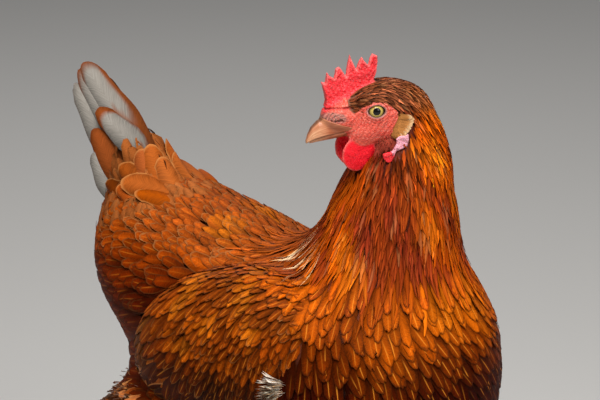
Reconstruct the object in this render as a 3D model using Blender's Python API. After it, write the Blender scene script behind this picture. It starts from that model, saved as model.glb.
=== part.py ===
"""A brown laying hen, life size, standing, with her head turned over her right side.

Metres, +Z up. She faces -Y, her right side is -X, and the floor is at Z 0. The solids give the outer
surface of her plumage: each body part is a field that is negative inside, and a closed mesh is cast
onto its zero surface. Neighbours are cut from each other with a thin gap, so nothing overlaps.
"""

import math

import bmesh
import bpy
import numpy as np
from mathutils import Matrix, Vector

# Driving dimensions
GAP = 0.0004  # clearance between neighbouring pieces
BOX_MIDDLE_Y = 0.02246  # middle of her length in the axes that the sizes below use
FOOT_SPACING = 0.098  # between the middles of the two feet
FOOT_Y = 0.012
SHANK_TOP_Y = 0.048
SHANK_TOP_Z = 0.094  # height of the hock joint
SHANK_RADIUS = 0.0062
TOE_RADIUS = 0.0052
SOLE_DIP = 0.0006  # how far the toe pads are pressed flat by the floor

HEAD_AT = Vector((-0.0149, -0.0686, 0.398))  # midway between the eyes
HEAD_TURN = math.radians(235)  # heading of the bill, from -Y, turned over her right side
EYE_RADIUS = 0.0056
EYE_OUT = 0.0106  # from the head's middle plane to the centre of each eyeball

TAIL_ROOT = Vector((0.0, 0.127, 0.295))
TAIL_PITCH = 52  # degrees
TAIL_RISE = math.radians(54)  # slope of the tail's top edge
TAIL_FEATHERS = 7  # on each side
TAIL_SPREAD = math.radians(15)  # lean of each half of the folded fan from upright
TAIL_THICK = 0.0060

WING_PITCH = -21  # degrees, tip low
HACKLE_FAN = 0.045  # width of the curve between neck and trunk
SIDES = {"left": 1, "right": -1}


# ---------------------------------------------------------------- fields


def turned(pitch):
    """Axes of a shape pitched about X by that many degrees, as the columns of a matrix."""
    return np.array(Matrix.Rotation(math.radians(pitch), 3, "X"))


def ellipsoid(points, centre, radii, pitch=0):
    """Near distance from each point to an ellipsoid, negative inside."""
    local = (points - np.array(centre)) @ turned(pitch)
    radii = np.array(radii)
    near = np.linalg.norm(local / radii, axis=-1)
    steep = np.linalg.norm(local / radii**2, axis=-1)
    return near * (near - 1) / np.maximum(steep, 1e-9)


def tapered(points, start, end, start_radius, end_radius):
    """Near distance to a round-ended cone between two centres, negative inside."""
    start, end = np.array(start), np.array(end)
    axis = end - start
    along = np.clip((points - start) @ axis / (axis @ axis), 0, 1)
    away = np.linalg.norm(points - start - along[..., None] * axis, axis=-1)
    return away - start_radius - along * (end_radius - start_radius)


def blended(fields, width):
    """Smooth union: the lower of the fields, rounded where two of them meet."""
    result = fields[0]
    for other in fields[1:]:
        mix = np.clip(0.5 + 0.5 * (other - result) / width, 0, 1)
        result = other + (result - other) * mix - width * mix * (1 - mix)
    return result


def trunk_field(p):
    """Breast, middle, rump, the cushion of feathers in front of the tail, and the fluff under it."""
    return blended(
        [
            ellipsoid(p, (0, -0.060, 0.212), (0.082, 0.078, 0.082)),
            ellipsoid(p, (0, 0.010, 0.208), (0.083, 0.100, 0.084)),
            ellipsoid(p, (0, 0.088, 0.250), (0.063, 0.066, 0.050), 20),
            ellipsoid(p, (0, 0.106, 0.274), (0.040, 0.048, 0.034), 20),
            ellipsoid(p, (0, 0.062, 0.186), (0.052, 0.056, 0.046)),
            ellipsoid(p, (0, 0.055, 0.257), (0.049, 0.038, 0.036), 14),
        ],
        0.03,
    )


def neck_field(p):
    """The hackle, wide at the shoulders and narrow behind the head, where it turns with the head."""
    heading = HEAD_TURN - math.pi / 2
    in_head = (p - np.array(HEAD_AT)) @ np.array(Matrix.Rotation(heading, 3, "Z"))
    return blended(
        [
            tapered(p, (0, -0.066, 0.262), (0.001, -0.074, 0.318), 0.058, 0.0365),
            tapered(p, (0.001, -0.074, 0.318), (0.0032, -0.0768, 0.350), 0.0365, 0.0312),
            ellipsoid(in_head, (-0.0245, -0.001, -0.026), (0.0205, 0.0165, 0.0325)),
        ],
        0.02,
    )


def hackle_field(p):
    """The neck as its feathers fan out over the shoulders, ended inside the trunk."""
    fanned = blended([neck_field(p), trunk_field(p)], HACKLE_FAN)
    return np.maximum(fanned, ellipsoid(p, (0, -0.064, 0.318), (0.086, 0.086, 0.088)))


def head_field(p):
    """Skull with its short feathers, in the head's own axes: X to the bill, Y to her left."""
    return blended(
        [
            ellipsoid(p, (-0.008, 0, -0.002), (0.026, 0.0165, 0.0185)),
            ellipsoid(p, (0.013, 0, -0.006), (0.0185, 0.0110, 0.0115)),
            ellipsoid(p, (-0.006, 0, -0.0125), (0.021, 0.0140, 0.0120)),
        ],
        0.008,
    )


def wing_field(side):
    return lambda p: ellipsoid(
        p, (side * 0.060, 0.003, 0.239), (0.037, 0.082, 0.050), WING_PITCH
    )


def thigh_field(side):
    """The drumstick down to the hock, and the loose fluff that hangs behind it."""
    return lambda p: blended(
        [
            tapered(
                p,
                (side * 0.050, 0.010, 0.155),
                (side * 0.0465, SHANK_TOP_Y - 0.003, SHANK_TOP_Z + 0.009),
                0.036,
                0.0130,
            ),
            ellipsoid(p, (side * 0.054, 0.062, 0.167), (0.037, 0.056, 0.034), -10),
        ],
        0.02,
    )


# ---------------------------------------------------------------- meshes


def cast(field, start, end, rings, segments, reach=0.2):
    """Points and faces of the field's zero surface round the line from start to end. Rays leave that
    line like those of a capsule, from pole to pole, and each is halved down to where the field
    changes sign."""
    start, end = np.array(start, float), np.array(end, float)
    axis = (end - start) / np.linalg.norm(end - start)
    across = np.cross(axis, (1.0, 0.0, 0.0) if abs(axis[0]) < 0.9 else (0.0, 0.0, 1.0))
    across /= np.linalg.norm(across)
    third = np.cross(axis, across)
    polar = np.linspace(0, math.pi, rings + 2)
    turn = np.arange(segments) * 2 * math.pi / segments
    outward = np.cos(turn)[:, None] * across + np.sin(turn)[:, None] * third
    ray = (
        -np.cos(polar)[:, None, None] * axis
        + np.sin(polar)[:, None, None] * outward[None]
    )
    origin = start + (1 - np.cos(polar))[:, None, None] / 2 * (end - start)
    near = np.zeros(ray.shape[:2])
    far = np.full(ray.shape[:2], reach)
    for _ in range(30):
        middle = (near + far) / 2
        inside = field(origin + ray * middle[..., None]) < 0
        near = np.where(inside, middle, near)
        far = np.where(inside, far, middle)
    grid = origin + ray * near[..., None]
    return closed_grid(grid)


def closed_grid(grid):
    """Points and faces of rings of points whose first and last ring are one point each."""
    rings, segments = grid.shape[0] - 2, grid.shape[1]
    points = [grid[0, 0], *grid[1:-1].reshape(-1, 3), grid[-1, 0]]
    last = len(points) - 1
    faces = []
    for i in range(segments):
        j = (i + 1) % segments
        faces.append((0, 1 + j, 1 + i))
        faces.append((last, 1 + (rings - 1) * segments + i, 1 + (rings - 1) * segments + j))
        for r in range(rings - 1):
            a, b = 1 + r * segments, 1 + (r + 1) * segments
            faces.append((a + i, a + j, b + j, b + i))
    return points, faces


def tube(path, radii, segments, flat=1.0):
    """Points and faces of a closed tube along a path in the YZ plane or near it. flat scales its
    height against its width."""
    path = np.array(path, float)
    along = np.gradient(path, axis=0)
    along /= np.linalg.norm(along, axis=1, keepdims=True)
    side = np.cross(along, (0.0, 0.0, 1.0))
    lengths = np.linalg.norm(side, axis=1, keepdims=True)
    side = np.where(lengths > 0.2, side / np.maximum(lengths, 1e-9), (1.0, 0.0, 0.0))
    up = np.cross(side, along)
    turn = np.arange(segments) * 2 * math.pi / segments
    rings = path[:, None] + np.array(radii)[:, None, None] * (
        np.cos(turn)[:, None] * side[:, None] + flat * np.sin(turn)[:, None] * up[:, None]
    )
    ends = (path[:1, None] + 0 * rings[:1], path[-1:, None] + 0 * rings[:1])
    return closed_grid(np.concatenate([ends[0], rings, ends[1]]))


def plate(outline, thickness):
    """Points and faces of a plate in the XZ plane. thickness gives its half thickness at a point."""
    count = len(outline)
    points = [(x, side * thickness(x, z), z) for side in (1, -1) for x, z in outline]
    faces = [tuple(range(count)), tuple(range(2 * count - 1, count - 1, -1))]
    for i in range(count):
        j = (i + 1) % count
        faces.append((j, i, count + i, count + j))
    return points, faces


def mesh_object(name, shape, material, matrix=None):
    """A named object from points and faces, with its faces pointing out, smoothly shaded."""
    mesh = bpy.data.meshes.new(name)
    mesh.from_pydata([tuple(p) for p in shape[0]], [], shape[1])
    work = bmesh.new()
    work.from_mesh(mesh)
    bmesh.ops.triangulate(work, faces=work.faces[:])
    bmesh.ops.recalc_face_normals(work, faces=work.faces)
    work.to_mesh(mesh)
    work.free()
    mesh.shade_smooth()
    if material:
        mesh.materials.append(material)
    piece = bpy.data.objects.new(name, mesh)
    if matrix:
        piece.matrix_world = matrix
    bpy.context.scene.collection.objects.link(piece)
    return piece


def sliced(piece, point, normal):
    """Keeps the part of the piece on the far side of a plane, closed with a flat face."""
    inverse = piece.matrix_world.inverted()
    normal = Vector(normal).normalized()
    work = bmesh.new()
    work.from_mesh(piece.data)
    cut = bmesh.ops.bisect_plane(
        work,
        geom=work.verts[:] + work.edges[:] + work.faces[:],
        plane_co=inverse @ (Vector(point) + normal * GAP / 2),
        plane_no=inverse.to_3x3() @ normal,
        clear_inner=True,
        dist=1e-6,
    )
    rim = [e for e in cut["geom_cut"] if isinstance(e, bmesh.types.BMEdge)]
    made = bmesh.ops.holes_fill(work, edges=rim, sides=0)
    bmesh.ops.triangulate(work, faces=made["faces"])
    bmesh.ops.recalc_face_normals(work, faces=work.faces)
    work.to_mesh(piece.data)
    work.free()
    return piece


def portion(piece, name, *planes):
    """A copy of the piece, cut by planes given as (point, normal)."""
    copy = piece.copy()
    copy.data = piece.data.copy()
    copy.name = name
    bpy.context.scene.collection.objects.link(copy)
    for point, normal in planes:
        sliced(copy, point, normal)
    return copy


def hidden(piece):
    piece.hide_render = True
    piece.display_type = "WIRE"
    return piece


def clear_of(piece, *neighbours):
    """Cuts the piece back so that it stays a gap away from each neighbour's whole shape."""
    for neighbour in neighbours:
        cutter = neighbour.copy()
        cutter.data = neighbour.data.copy()
        cutter.name = "cutter"
        bpy.context.scene.collection.objects.link(cutter)
        cutter.modifiers.clear()
        swell = cutter.modifiers.new("swell", "DISPLACE")
        swell.strength = GAP
        swell.mid_level = 0
        hidden(cutter)
        cut = piece.modifiers.new("clear", "BOOLEAN")
        cut.operation = "DIFFERENCE"
        cut.object = cutter
    return piece


def finish(name, colour, roughness, metallic=0.0):
    material = bpy.data.materials.new(name)
    material.use_nodes = True
    shader = material.node_tree.nodes["Principled BSDF"]
    shader.inputs["Base Color"].default_value = (*colour, 1)
    shader.inputs["Roughness"].default_value = roughness
    shader.inputs["Metallic"].default_value = metallic
    return material


# ---------------------------------------------------------------- body parts


def make_trunk(plumage):
    """The body from breast to rump, parted across behind the breast and before the rump, with its
    middle parted again into back and belly. Returns the whole, as a guide for its neighbours."""
    shape = cast(trunk_field, (0, -0.075, 0.212), (0, 0.100, 0.248), 17, 24)
    whole = hidden(mesh_object("trunk_guide", shape, plumage))
    breast_end = (0, -0.040, 0.2)
    rump_start = (0, 0.062, 0.2)
    waist = (0, 0, 0.215)
    pieces = {
        "breast": [(breast_end, (0, -1, 0))],
        "back": [(breast_end, (0, 1, 0)), (rump_start, (0, -1, 0)), (waist, (0, 0, 1))],
        "belly": [(breast_end, (0, 1, 0)), (rump_start, (0, -1, 0)), (waist, (0, 0, -1))],
        "rump": [(rump_start, (0, 1, 0))],
    }
    for name, planes in pieces.items():
        piece = portion(whole, name, *planes)
        piece.hide_render = False
        piece.display_type = "TEXTURED"
    return whole


def make_neck(plumage, trunk, head):
    shape = cast(hackle_field, (0, -0.068, 0.262), (0.005, -0.082, 0.374), 13, 20, 0.12)
    whole = hidden(mesh_object("neck_guide", shape, plumage))
    middle = (0, -0.07, 0.326)
    for name, normal in {"neck_lower": (0, 0, -1), "neck_upper": (0, 0, 1)}.items():
        piece = portion(whole, name, (middle, normal))
        piece.hide_render = False
        piece.display_type = "TEXTURED"
        clear_of(piece, trunk if name == "neck_lower" else head)
    return whole


def head_matrix():
    """Head axes in the world: X along the bill, Z up."""
    heading = HEAD_TURN - math.pi / 2
    return Matrix.Translation(HEAD_AT) @ Matrix.Rotation(heading, 4, "Z")


def make_head(plumage, eyes):
    shape = cast(head_field, (-0.018, 0, -0.006), (0.018, 0, -0.006), 11, 18, 0.06)
    head = mesh_object("head", shape, plumage, head_matrix())
    clear_of(head, *eyes)
    return head


def make_eyes(material):
    eyes = []
    for side, sign in SIDES.items():
        mesh = bpy.data.meshes.new(f"eye_{side}")
        work = bmesh.new()
        bmesh.ops.create_uvsphere(work, u_segments=12, v_segments=8, radius=EYE_RADIUS)
        bmesh.ops.triangulate(work, faces=work.faces[:])
        work.to_mesh(mesh)
        work.free()
        mesh.shade_smooth()
        mesh.materials.append(material)
        eye = bpy.data.objects.new(f"eye_{side}", mesh)
        eye.matrix_world = head_matrix() @ Matrix.Translation((0, sign * EYE_OUT, 0))
        bpy.context.scene.collection.objects.link(eye)
        eyes.append(eye)
    return eyes


def bill_half(stations, segments=10):
    """Rings across the bill. Each station is (X, upper Z, lower Z, half width)."""
    turn = np.arange(segments) * 2 * math.pi / segments
    rings = []
    for x, top, bottom, width in stations:
        middle, height = (top + bottom) / 2, (top - bottom) / 2
        rings.append(
            np.stack(
                [0 * turn + x, width * np.cos(turn), middle + height * np.sin(turn)], 1
            )
        )
    first, last = (np.repeat(r.mean(0, keepdims=True), segments, 0) for r in (rings[0], rings[-1]))
    return closed_grid(np.array([first, *rings, last]))


def make_bill(horn, head):
    """Two halves that meet along the mouth line, which runs back and up to the gape."""
    upper = [
        (0.018, -0.0015, -0.0130, 0.0088),
        (0.024, -0.0012, -0.0142, 0.0080),
        (0.030, -0.0028, -0.0154, 0.0066),
        (0.035, -0.0066, -0.0170, 0.0050),
        (0.039, -0.0122, -0.0190, 0.0032),
        (0.0416, -0.0185, -0.0212, 0.0014),
    ]
    lower = [
        (0.018, -0.0134, -0.0178, 0.0076),
        (0.024, -0.0146, -0.0188, 0.0068),
        (0.030, -0.0158, -0.0196, 0.0054),
        (0.035, -0.0174, -0.0202, 0.0036),
        (0.038, -0.0190, -0.0206, 0.0018),
    ]
    place = head_matrix()
    clear_of(mesh_object("bill_upper", bill_half(upper), horn, place), head)
    clear_of(mesh_object("bill_lower", bill_half(lower), horn, place), head)


def make_comb(red, head):
    """Single upright comb with six points, thick at its root and thin at the tips."""
    outline = [
        (0.0300, -0.0040), (0.0285, 0.0050), (0.0292, 0.0095), (0.0302, 0.0130), (0.0313, 0.0172),
        (0.0288, 0.0165), (0.0280, 0.0237), (0.0262, 0.0210), (0.0232, 0.0189), (0.0222, 0.0252),
        (0.0200, 0.0262), (0.0183, 0.0240), (0.0157, 0.0195), (0.0147, 0.0270), (0.0134, 0.0336),
        (0.0118, 0.0290), (0.0094, 0.0238), (0.0078, 0.0290), (0.0062, 0.0321), (0.0044, 0.0290),
        (0.0020, 0.0262), (0.0012, 0.0305), (-0.0006, 0.0336), (-0.0042, 0.0315), (-0.0042, 0.0275),
        (-0.0031, 0.0215), (-0.0007, 0.0150), (0.0060, 0.0070), (0.0140, -0.0040), (0.0220, -0.0080),
    ]

    def half_thickness(x, z):
        return 0.0030 - 0.0021 * min(max(z / 0.030, 0), 1)

    comb = mesh_object("comb", plate(outline, half_thickness), red, head_matrix())
    return clear_of(comb, head)


def lens(centre, radii, thickness, lean, rings=5, segments=14):
    """A flat round lobe in the XZ plane, thin at its rim, leaning outwards by an angle."""
    polar = np.linspace(0, math.pi, rings + 2)[:, None]
    turn = np.arange(segments)[None] * 2 * math.pi / segments
    x = radii[0] * np.sin(polar) * np.cos(turn)
    z = radii[1] * np.sin(polar) * np.sin(turn)
    y = thickness * np.cos(polar) + 0 * turn + (z - radii[1]) * math.tan(lean)
    return closed_grid(np.stack([centre[0] + x, centre[1] + y, centre[2] + z], -1))


def make_lobes(red, lobe, head, neck_whole):
    """Round wattles under the bill, and an ear lobe on each cheek."""
    place = head_matrix()
    for side, sign in SIDES.items():
        wattle = lens((0.0096, sign * 0.0074, -0.0278), (0.0104, 0.0115), 0.0021, -sign * 0.10)
        clear_of(mesh_object(f"wattle_{side}", wattle, red, place), head, neck_whole)
        ear = lens((-0.0150, sign * 0.0185 - 0.0012, -0.0190), (0.0044, 0.0072), 0.0026, sign * 0.10)
        clear_of(mesh_object(f"ear_lobe_{side}", ear, lobe, place), head, neck_whole)


def make_wings(plumage, trunk, neck):
    """Each folded wing lies over the flank and is parted across into shoulder, secondaries and
    primaries."""
    wings = []
    for side, sign in SIDES.items():
        slope = math.radians(WING_PITCH)
        along = Vector((0, math.cos(slope), math.sin(slope)))
        centre = Vector((sign * 0.060, 0.003, 0.239))
        shape = cast(
            wing_field(sign),
            centre - along * 0.055,
            centre + along * 0.055,
            10,
            16,
            0.1,
        )
        whole = hidden(mesh_object(f"wing_guide_{side}", shape, plumage))
        front, rear = centre - along * 0.018, centre + along * 0.034
        pieces = {
            "shoulder": [(front, -along)],
            "secondaries": [(front, along), (rear, -along)],
            "primaries": [(rear, along)],
        }
        for name, planes in pieces.items():
            piece = portion(whole, f"wing_{name}_{side}", *planes)
            piece.hide_render = False
            piece.display_type = "TEXTURED"
            clear_of(piece, trunk, neck)
        wings.append(whole)
    return wings


def make_tail(plumage, cream, trunk):
    """Two halves of a folded fan that meet along the top and stand apart below, in a collar of
    covert feathers. The outline runs from the root up the top edge, round the tips of the main
    feathers and down the rear edge."""
    shape = cast(
        lambda p: ellipsoid(p, TAIL_ROOT, (0.0215, 0.035, 0.030), TAIL_PITCH),
        TAIL_ROOT - Vector((0, 0.012, 0.012)),
        TAIL_ROOT + Vector((0, 0.012, 0.012)),
        9,
        18,
        0.1,
    )
    coverts = mesh_object("tail_coverts", shape, plumage)
    clear_of(coverts, trunk)
    root_top, root_rear = Vector((0.104, 0.3095)), Vector((0.160, 0.288))
    sunk = Vector((0.002, -0.024))
    outline = [root_top + sunk, root_top]
    for i in range(TAIL_FEATHERS):
        share = i / (TAIL_FEATHERS - 1)
        slope = math.radians(52 + 14 * share)
        length = 0.086 + 0.030 * share - 0.050 * share**2
        along = Vector((math.cos(slope), math.sin(slope)))
        across = Vector((along.y, -along.x)) * 0.0030
        tip = root_top.lerp(root_rear, share) + along * length
        outline += [tip - across - along * 0.002, tip, tip + across - along * 0.003]
    outline += [root_rear, root_rear + sunk * 0.7 - Vector((0.010, 0))]
    for side, sign in SIDES.items():
        fan = plate([tuple(point) for point in outline], lambda x, z: TAIL_THICK / 2)
        along_y = Matrix.Rotation(math.pi / 2, 4, "Z")
        half = mesh_object(f"tail_feathers_{side}", fan, cream, along_y)
        lean_out(half, sign, Vector((0, *(root_top + sunk))))
        sliced(half, (0, 0, 0), (sign, 0, 0))
        clear_of(half, trunk, coverts)


def lean_out(half, sign, hinge):
    """Leans a tail half out about its top edge, which rises from the hinge point."""
    axis = Vector((0, math.cos(TAIL_RISE), math.sin(TAIL_RISE)))
    lean = Matrix.Rotation(sign * TAIL_SPREAD, 4, axis)
    stand = Matrix.Translation((sign * TAIL_THICK / 3, 0, 0))
    half.matrix_world = (
        stand @ Matrix.Translation(hinge) @ lean @ Matrix.Translation(-hinge) @ half.matrix_world
    )


def make_legs(plumage, scaled, horn, trunk, wings):
    for side, sign in SIDES.items():
        wing = wings[list(SIDES).index(side)]
        shape = cast(
            thigh_field(sign),
            (sign * 0.053, 0.066, 0.176),
            (sign * 0.048, 0.038, 0.128),
            12,
            16,
            0.12,
        )
        thigh = mesh_object(f"thigh_{side}", shape, plumage)
        clear_of(thigh, trunk, wing)
        make_foot(side, sign, scaled, horn, thigh)


def toe_path(start, heading, length, rise):
    """Centres from the ball of the foot down to the floor and out to the claw, with its radii."""
    share = np.linspace(0, 1, 8)
    direction = np.array([math.sin(heading), -math.cos(heading)])
    plan = np.array(start[:2]) + share[:, None] * length * direction
    pads = 1 + 0.12 * np.cos(share * round(length / 0.02) * 2 * math.pi)
    radii = TOE_RADIUS * (1 - 0.36 * share) * pads
    lift = rise * np.clip(1 - share / 0.35, 0, 1) ** 2
    height = np.maximum(radii, TOE_RADIUS * 0.62) - SOLE_DIP + lift
    return np.column_stack([plan, height]), radii


def make_foot(side, sign, scaled, horn, thigh):
    """A scaled shank on the ball of the foot, with three toes in front, one behind and a claw on
    each."""
    ankle = np.array([sign * FOOT_SPACING / 2, FOOT_Y, 0.0100])
    centre = (sign * FOOT_SPACING / 2, FOOT_Y - 0.001, 0.0090)
    shape = cast(
        lambda p: ellipsoid(p, centre, (0.0100, 0.0110, 0.0098)), centre + np.array((0, -0.002, 0)),
        centre + np.array((0, 0.002, 0)), 5, 10, 0.03,
    )
    ball = mesh_object(f"foot_{side}", shape, scaled)
    sliced(ball, (0, 0, -GAP / 2), (0, 0, 1))
    hock = np.array([sign * 0.0465, SHANK_TOP_Y, SHANK_TOP_Z])
    share = np.linspace(0, 1, 7)
    path = hock + share[:, None] * (ankle - hock)
    path[:, 1] += 0.004 * np.sin(share * math.pi)
    radii = SHANK_RADIUS * (1 + 0.30 * (1 - share) ** 4 + 0.12 * share**4)
    top = hock + (hock - ankle) * 0.10
    path = np.vstack([top, path])
    radii = np.concatenate([[SHANK_RADIUS], radii])
    shank = mesh_object(f"shank_{side}", tube(path, radii, 10), scaled)
    clear_of(shank, thigh, ball)
    toes = {
        "inner": (-sign * math.radians(33), 0.046, 0.004),
        "middle": (sign * math.radians(2), 0.060, 0.005),
        "outer": (sign * math.radians(37 + sign), 0.050, 0.004),
        "hind": (math.pi - sign * math.radians(28), 0.024, 0.005),
    }
    made = []
    for name, (heading, length, rise) in toes.items():
        centres, radii = toe_path(ankle, heading, length, rise)
        toe = mesh_object(f"toe_{name}_{side}", tube(centres, radii, 8), scaled)
        sliced(toe, (0, 0, -GAP / 2), (0, 0, 1))
        clear_of(toe, ball, *made)
        claw = make_claw(f"claw_{name}_{side}", centres, radii, heading, horn)
        clear_of(claw, toe)
        made.append(toe)


def make_claw(name, centres, radii, heading, horn):
    """A curved claw that leaves the toe's end and comes down towards the floor."""
    share = np.linspace(0, 1, 6)
    length = 0.0135
    direction = np.array([math.sin(heading), -math.cos(heading)])
    start = centres[-1]
    plan = start[:2] + (share * length - 0.0016)[:, None] * direction
    height = start[2] + 0.0012 * np.sin(share * math.pi) - (start[2] - 0.0011) * share**2.2
    widths = radii[-1] * 0.66 * (1 - share) ** 0.8 + 0.0005
    return mesh_object(name, tube(np.column_stack([plan, height]), widths, 6), horn)


def main():
    for old in list(bpy.data.objects):
        bpy.data.objects.remove(old)
    plumage = finish("plumage", (0.42, 0.13, 0.035), 0.62)
    cream = finish("tail_plumage", (0.62, 0.45, 0.30), 0.60)
    red = finish("comb_skin", (0.72, 0.04, 0.045), 0.45)
    lobe = finish("ear_lobe_skin", (0.80, 0.45, 0.50), 0.45)
    horn = finish("horn", (0.62, 0.42, 0.25), 0.35)
    scaled = finish("shank_scales", (0.72, 0.50, 0.20), 0.50)
    iris = finish("eye", (0.55, 0.36, 0.08), 0.08)

    eyes = make_eyes(iris)
    head = make_head(plumage, eyes)
    trunk = make_trunk(plumage)
    neck = make_neck(plumage, trunk, head)
    make_bill(horn, head)
    make_comb(red, head)
    make_lobes(red, lobe, head, neck)
    wings = make_wings(plumage, trunk, neck)
    make_tail(plumage, cream, trunk)
    make_legs(plumage, scaled, horn, trunk, wings)
    for piece in bpy.data.objects:
        piece.location.y -= BOX_MIDDLE_Y


main()
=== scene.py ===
"""The looks of a life-size brown laying hen: one skin, feathers as thin solid vanes, horn, eyes and scales.

Metres, +Z up. She faces -Y and her right side is -X. Sizes are worked out in her own axes, where her
neck stands over Y -0.07, and settle() brings them into the frame.
"""

import math

import bpy
import numpy as np
from mathutils import Matrix, Vector
from mathutils.kdtree import KDTree


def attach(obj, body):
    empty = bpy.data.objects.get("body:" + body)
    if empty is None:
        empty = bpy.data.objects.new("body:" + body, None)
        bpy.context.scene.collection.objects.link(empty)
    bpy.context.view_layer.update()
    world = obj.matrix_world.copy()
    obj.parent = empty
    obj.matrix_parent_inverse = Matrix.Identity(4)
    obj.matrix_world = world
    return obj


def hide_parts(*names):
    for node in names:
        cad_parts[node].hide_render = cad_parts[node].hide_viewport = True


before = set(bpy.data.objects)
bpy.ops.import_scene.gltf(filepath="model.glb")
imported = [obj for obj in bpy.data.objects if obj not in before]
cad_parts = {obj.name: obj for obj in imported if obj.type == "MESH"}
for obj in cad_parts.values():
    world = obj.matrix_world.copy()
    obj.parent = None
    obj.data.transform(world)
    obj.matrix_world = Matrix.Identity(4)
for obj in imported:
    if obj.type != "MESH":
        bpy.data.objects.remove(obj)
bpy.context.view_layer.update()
chance = np.random.default_rng(7)

# ---------------------------------------------------------------- sizes, as in the solids

BOX_MIDDLE_Y = 0.02246
HACKLE_FAN = 0.045
HEAD_AT = np.array((-0.0149, -0.0686, 0.398))
HEAD_HEADING = math.radians(145)  # of the bill, from +X towards +Y
HEAD_TURN = np.array(Matrix.Rotation(HEAD_HEADING, 3, "Z"))
EYE_RADIUS = 0.0056
EYE_OUT = 0.0106
WING_AT = (0.060, 0.003, 0.239)
WING_RADII = (0.037, 0.082, 0.050)
WING_PITCH = -21
FOOT_SPACING = 0.098
FOOT_Y = 0.012
SHANK_TOP = (0.0465, 0.048, 0.094)
SHANK_RADIUS = 0.0062
TOE_RADIUS = 0.0052
SOLE_DIP = 0.0006
SIDES = {"left": 1, "right": -1}

SKIN_DEPTH = 0.0045  # of the skin under the feathers' outer surface, on the body
HEAD_SKIN_DEPTH = 0.0011
TRUNK_STEP = 0.004  # of the cubes in which each surface is found
HEAD_STEP = 0.00055
FOOT_STEP = 0.0011
BILL_STEP = 0.00038


def tenths(*rows):
    """Metres from rows of tenths of a millimetre."""
    return np.array(rows) / 1e4


def folded(points, axis):
    """Points with those below zero on that axis folded over, because her two sides mirror each other."""
    points = np.array(points)
    points[..., axis] = np.abs(points[..., axis])
    return points


def turned(pitch):
    """Axes of a shape pitched about X by that many degrees, as the columns of a matrix."""
    return np.array(Matrix.Rotation(math.radians(pitch), 3, "X"))


def ellipsoid(points, centre, radii, pitch=0):
    """Near distance from each point to an ellipsoid, negative inside."""
    local = (points - np.array(centre)) @ turned(pitch)
    radii = np.array(radii)
    near = np.linalg.norm(local / radii, axis=-1)
    steep = np.linalg.norm(local / radii**2, axis=-1)
    return near * (near - 1) / np.maximum(steep, 1e-9)


def tapered(points, start, end, start_radius, end_radius):
    """Near distance to a round-ended cone between two centres, negative inside."""
    start, end = np.array(start), np.array(end)
    axis = end - start
    along = np.clip((points - start) @ axis / (axis @ axis), 0, 1)
    away = np.linalg.norm(points - start - along[..., None] * axis, axis=-1)
    return away - start_radius - along * (end_radius - start_radius)


def blended(fields, width):
    """Smooth union: the lower of the fields, rounded where two of them meet."""
    result = fields[0]
    for other in fields[1:]:
        share = np.clip(0.5 + 0.5 * (other - result) / width, 0, 1)
        result = other + (result - other) * share - width * share * (1 - share)
    return result


def carved(field, hole, width):
    """Smooth difference: the field with a hole taken out of it."""
    return -blended([-field, hole], width)


def ramp(value, low, high):
    """0 below low, 1 above high, and smooth between them. low may be the larger."""
    share = np.clip((value - low) / (high - low), 0, 1)
    return share * share * (3 - 2 * share)


def ripple(points, size, seed=0):
    """Smooth noise from -1 to 1 with lumps about that size: six waves in fixed random directions."""
    pick = np.random.default_rng(1000 + seed)
    waves = pick.normal(size=(6, 3))
    waves /= np.linalg.norm(waves, axis=1, keepdims=True)
    phases = pick.uniform(0, 2 * math.pi, 6)
    turns = points @ (waves * pick.uniform(0.7, 1.4, (6, 1)) * math.pi / size).T
    return np.sin(turns + phases).sum(-1) / 3.2


def trunk_field(p):
    """Breast, middle, rump, the cushion of feathers in front of the tail, and the fluff under it."""
    return blended(
        [
            ellipsoid(p, (0, -0.060, 0.212), (0.082, 0.078, 0.082)),
            ellipsoid(p, (0, 0.010, 0.208), (0.083, 0.100, 0.084)),
            ellipsoid(p, (0, 0.088, 0.250), (0.063, 0.066, 0.050), 20),
            ellipsoid(p, (0, 0.106, 0.274), (0.040, 0.048, 0.034), 20),
            ellipsoid(p, (0, 0.062, 0.186), (0.052, 0.056, 0.046)),
            ellipsoid(p, (0, 0.055, 0.257), (0.049, 0.038, 0.036), 14),
        ],
        0.03,
    )


def to_head(points):
    """Points in the head's own axes: X to the bill, Y to her left, Z up, from midway between the eyes."""
    return (points - HEAD_AT) @ HEAD_TURN


def from_head(points):
    return points @ HEAD_TURN.T + HEAD_AT


def neck_field(p):
    """The hackle, wide at the shoulders and narrow behind the head, where it turns with the head."""
    return blended(
        [
            tapered(p, (0, -0.066, 0.262), (0.001, -0.074, 0.318), 0.058, 0.0365),
            tapered(p, (0.001, -0.074, 0.318), (0.0032, -0.0768, 0.350), 0.0365, 0.0312),
            ellipsoid(to_head(p), (-0.0245, -0.001, -0.026), (0.0205, 0.0165, 0.0325)),
        ],
        0.02,
    )


def skull_field(q):
    """The head with its short feathers, in its own axes."""
    return blended(
        [
            ellipsoid(q, (-0.008, 0, -0.002), (0.026, 0.0165, 0.0185)),
            ellipsoid(q, (0.013, 0, -0.006), (0.0185, 0.0110, 0.0115)),
            ellipsoid(q, (-0.006, 0, -0.0125), (0.021, 0.0140, 0.0120)),
            tapered(folded(q, 1), (-0.0060, 0.0120, 0.0062), (0.0085, 0.0110, 0.0056), 0.0026, 0.0020),
        ],
        0.006,
    )


def thigh_field(p):
    """Both drumsticks down to the hocks, and the loose fluff that hangs behind them."""
    p = folded(p, 0)
    hock = (SHANK_TOP[0], SHANK_TOP[1] - 0.003, SHANK_TOP[2] + 0.009)
    drumstick = tapered(p, (0.050, 0.010, 0.155), hock, 0.036, 0.0130)
    fluff = ellipsoid(p, (0.054, 0.062, 0.167), (0.037, 0.056, 0.034), -10)
    return blended([drumstick, fluff], 0.02)


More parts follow.
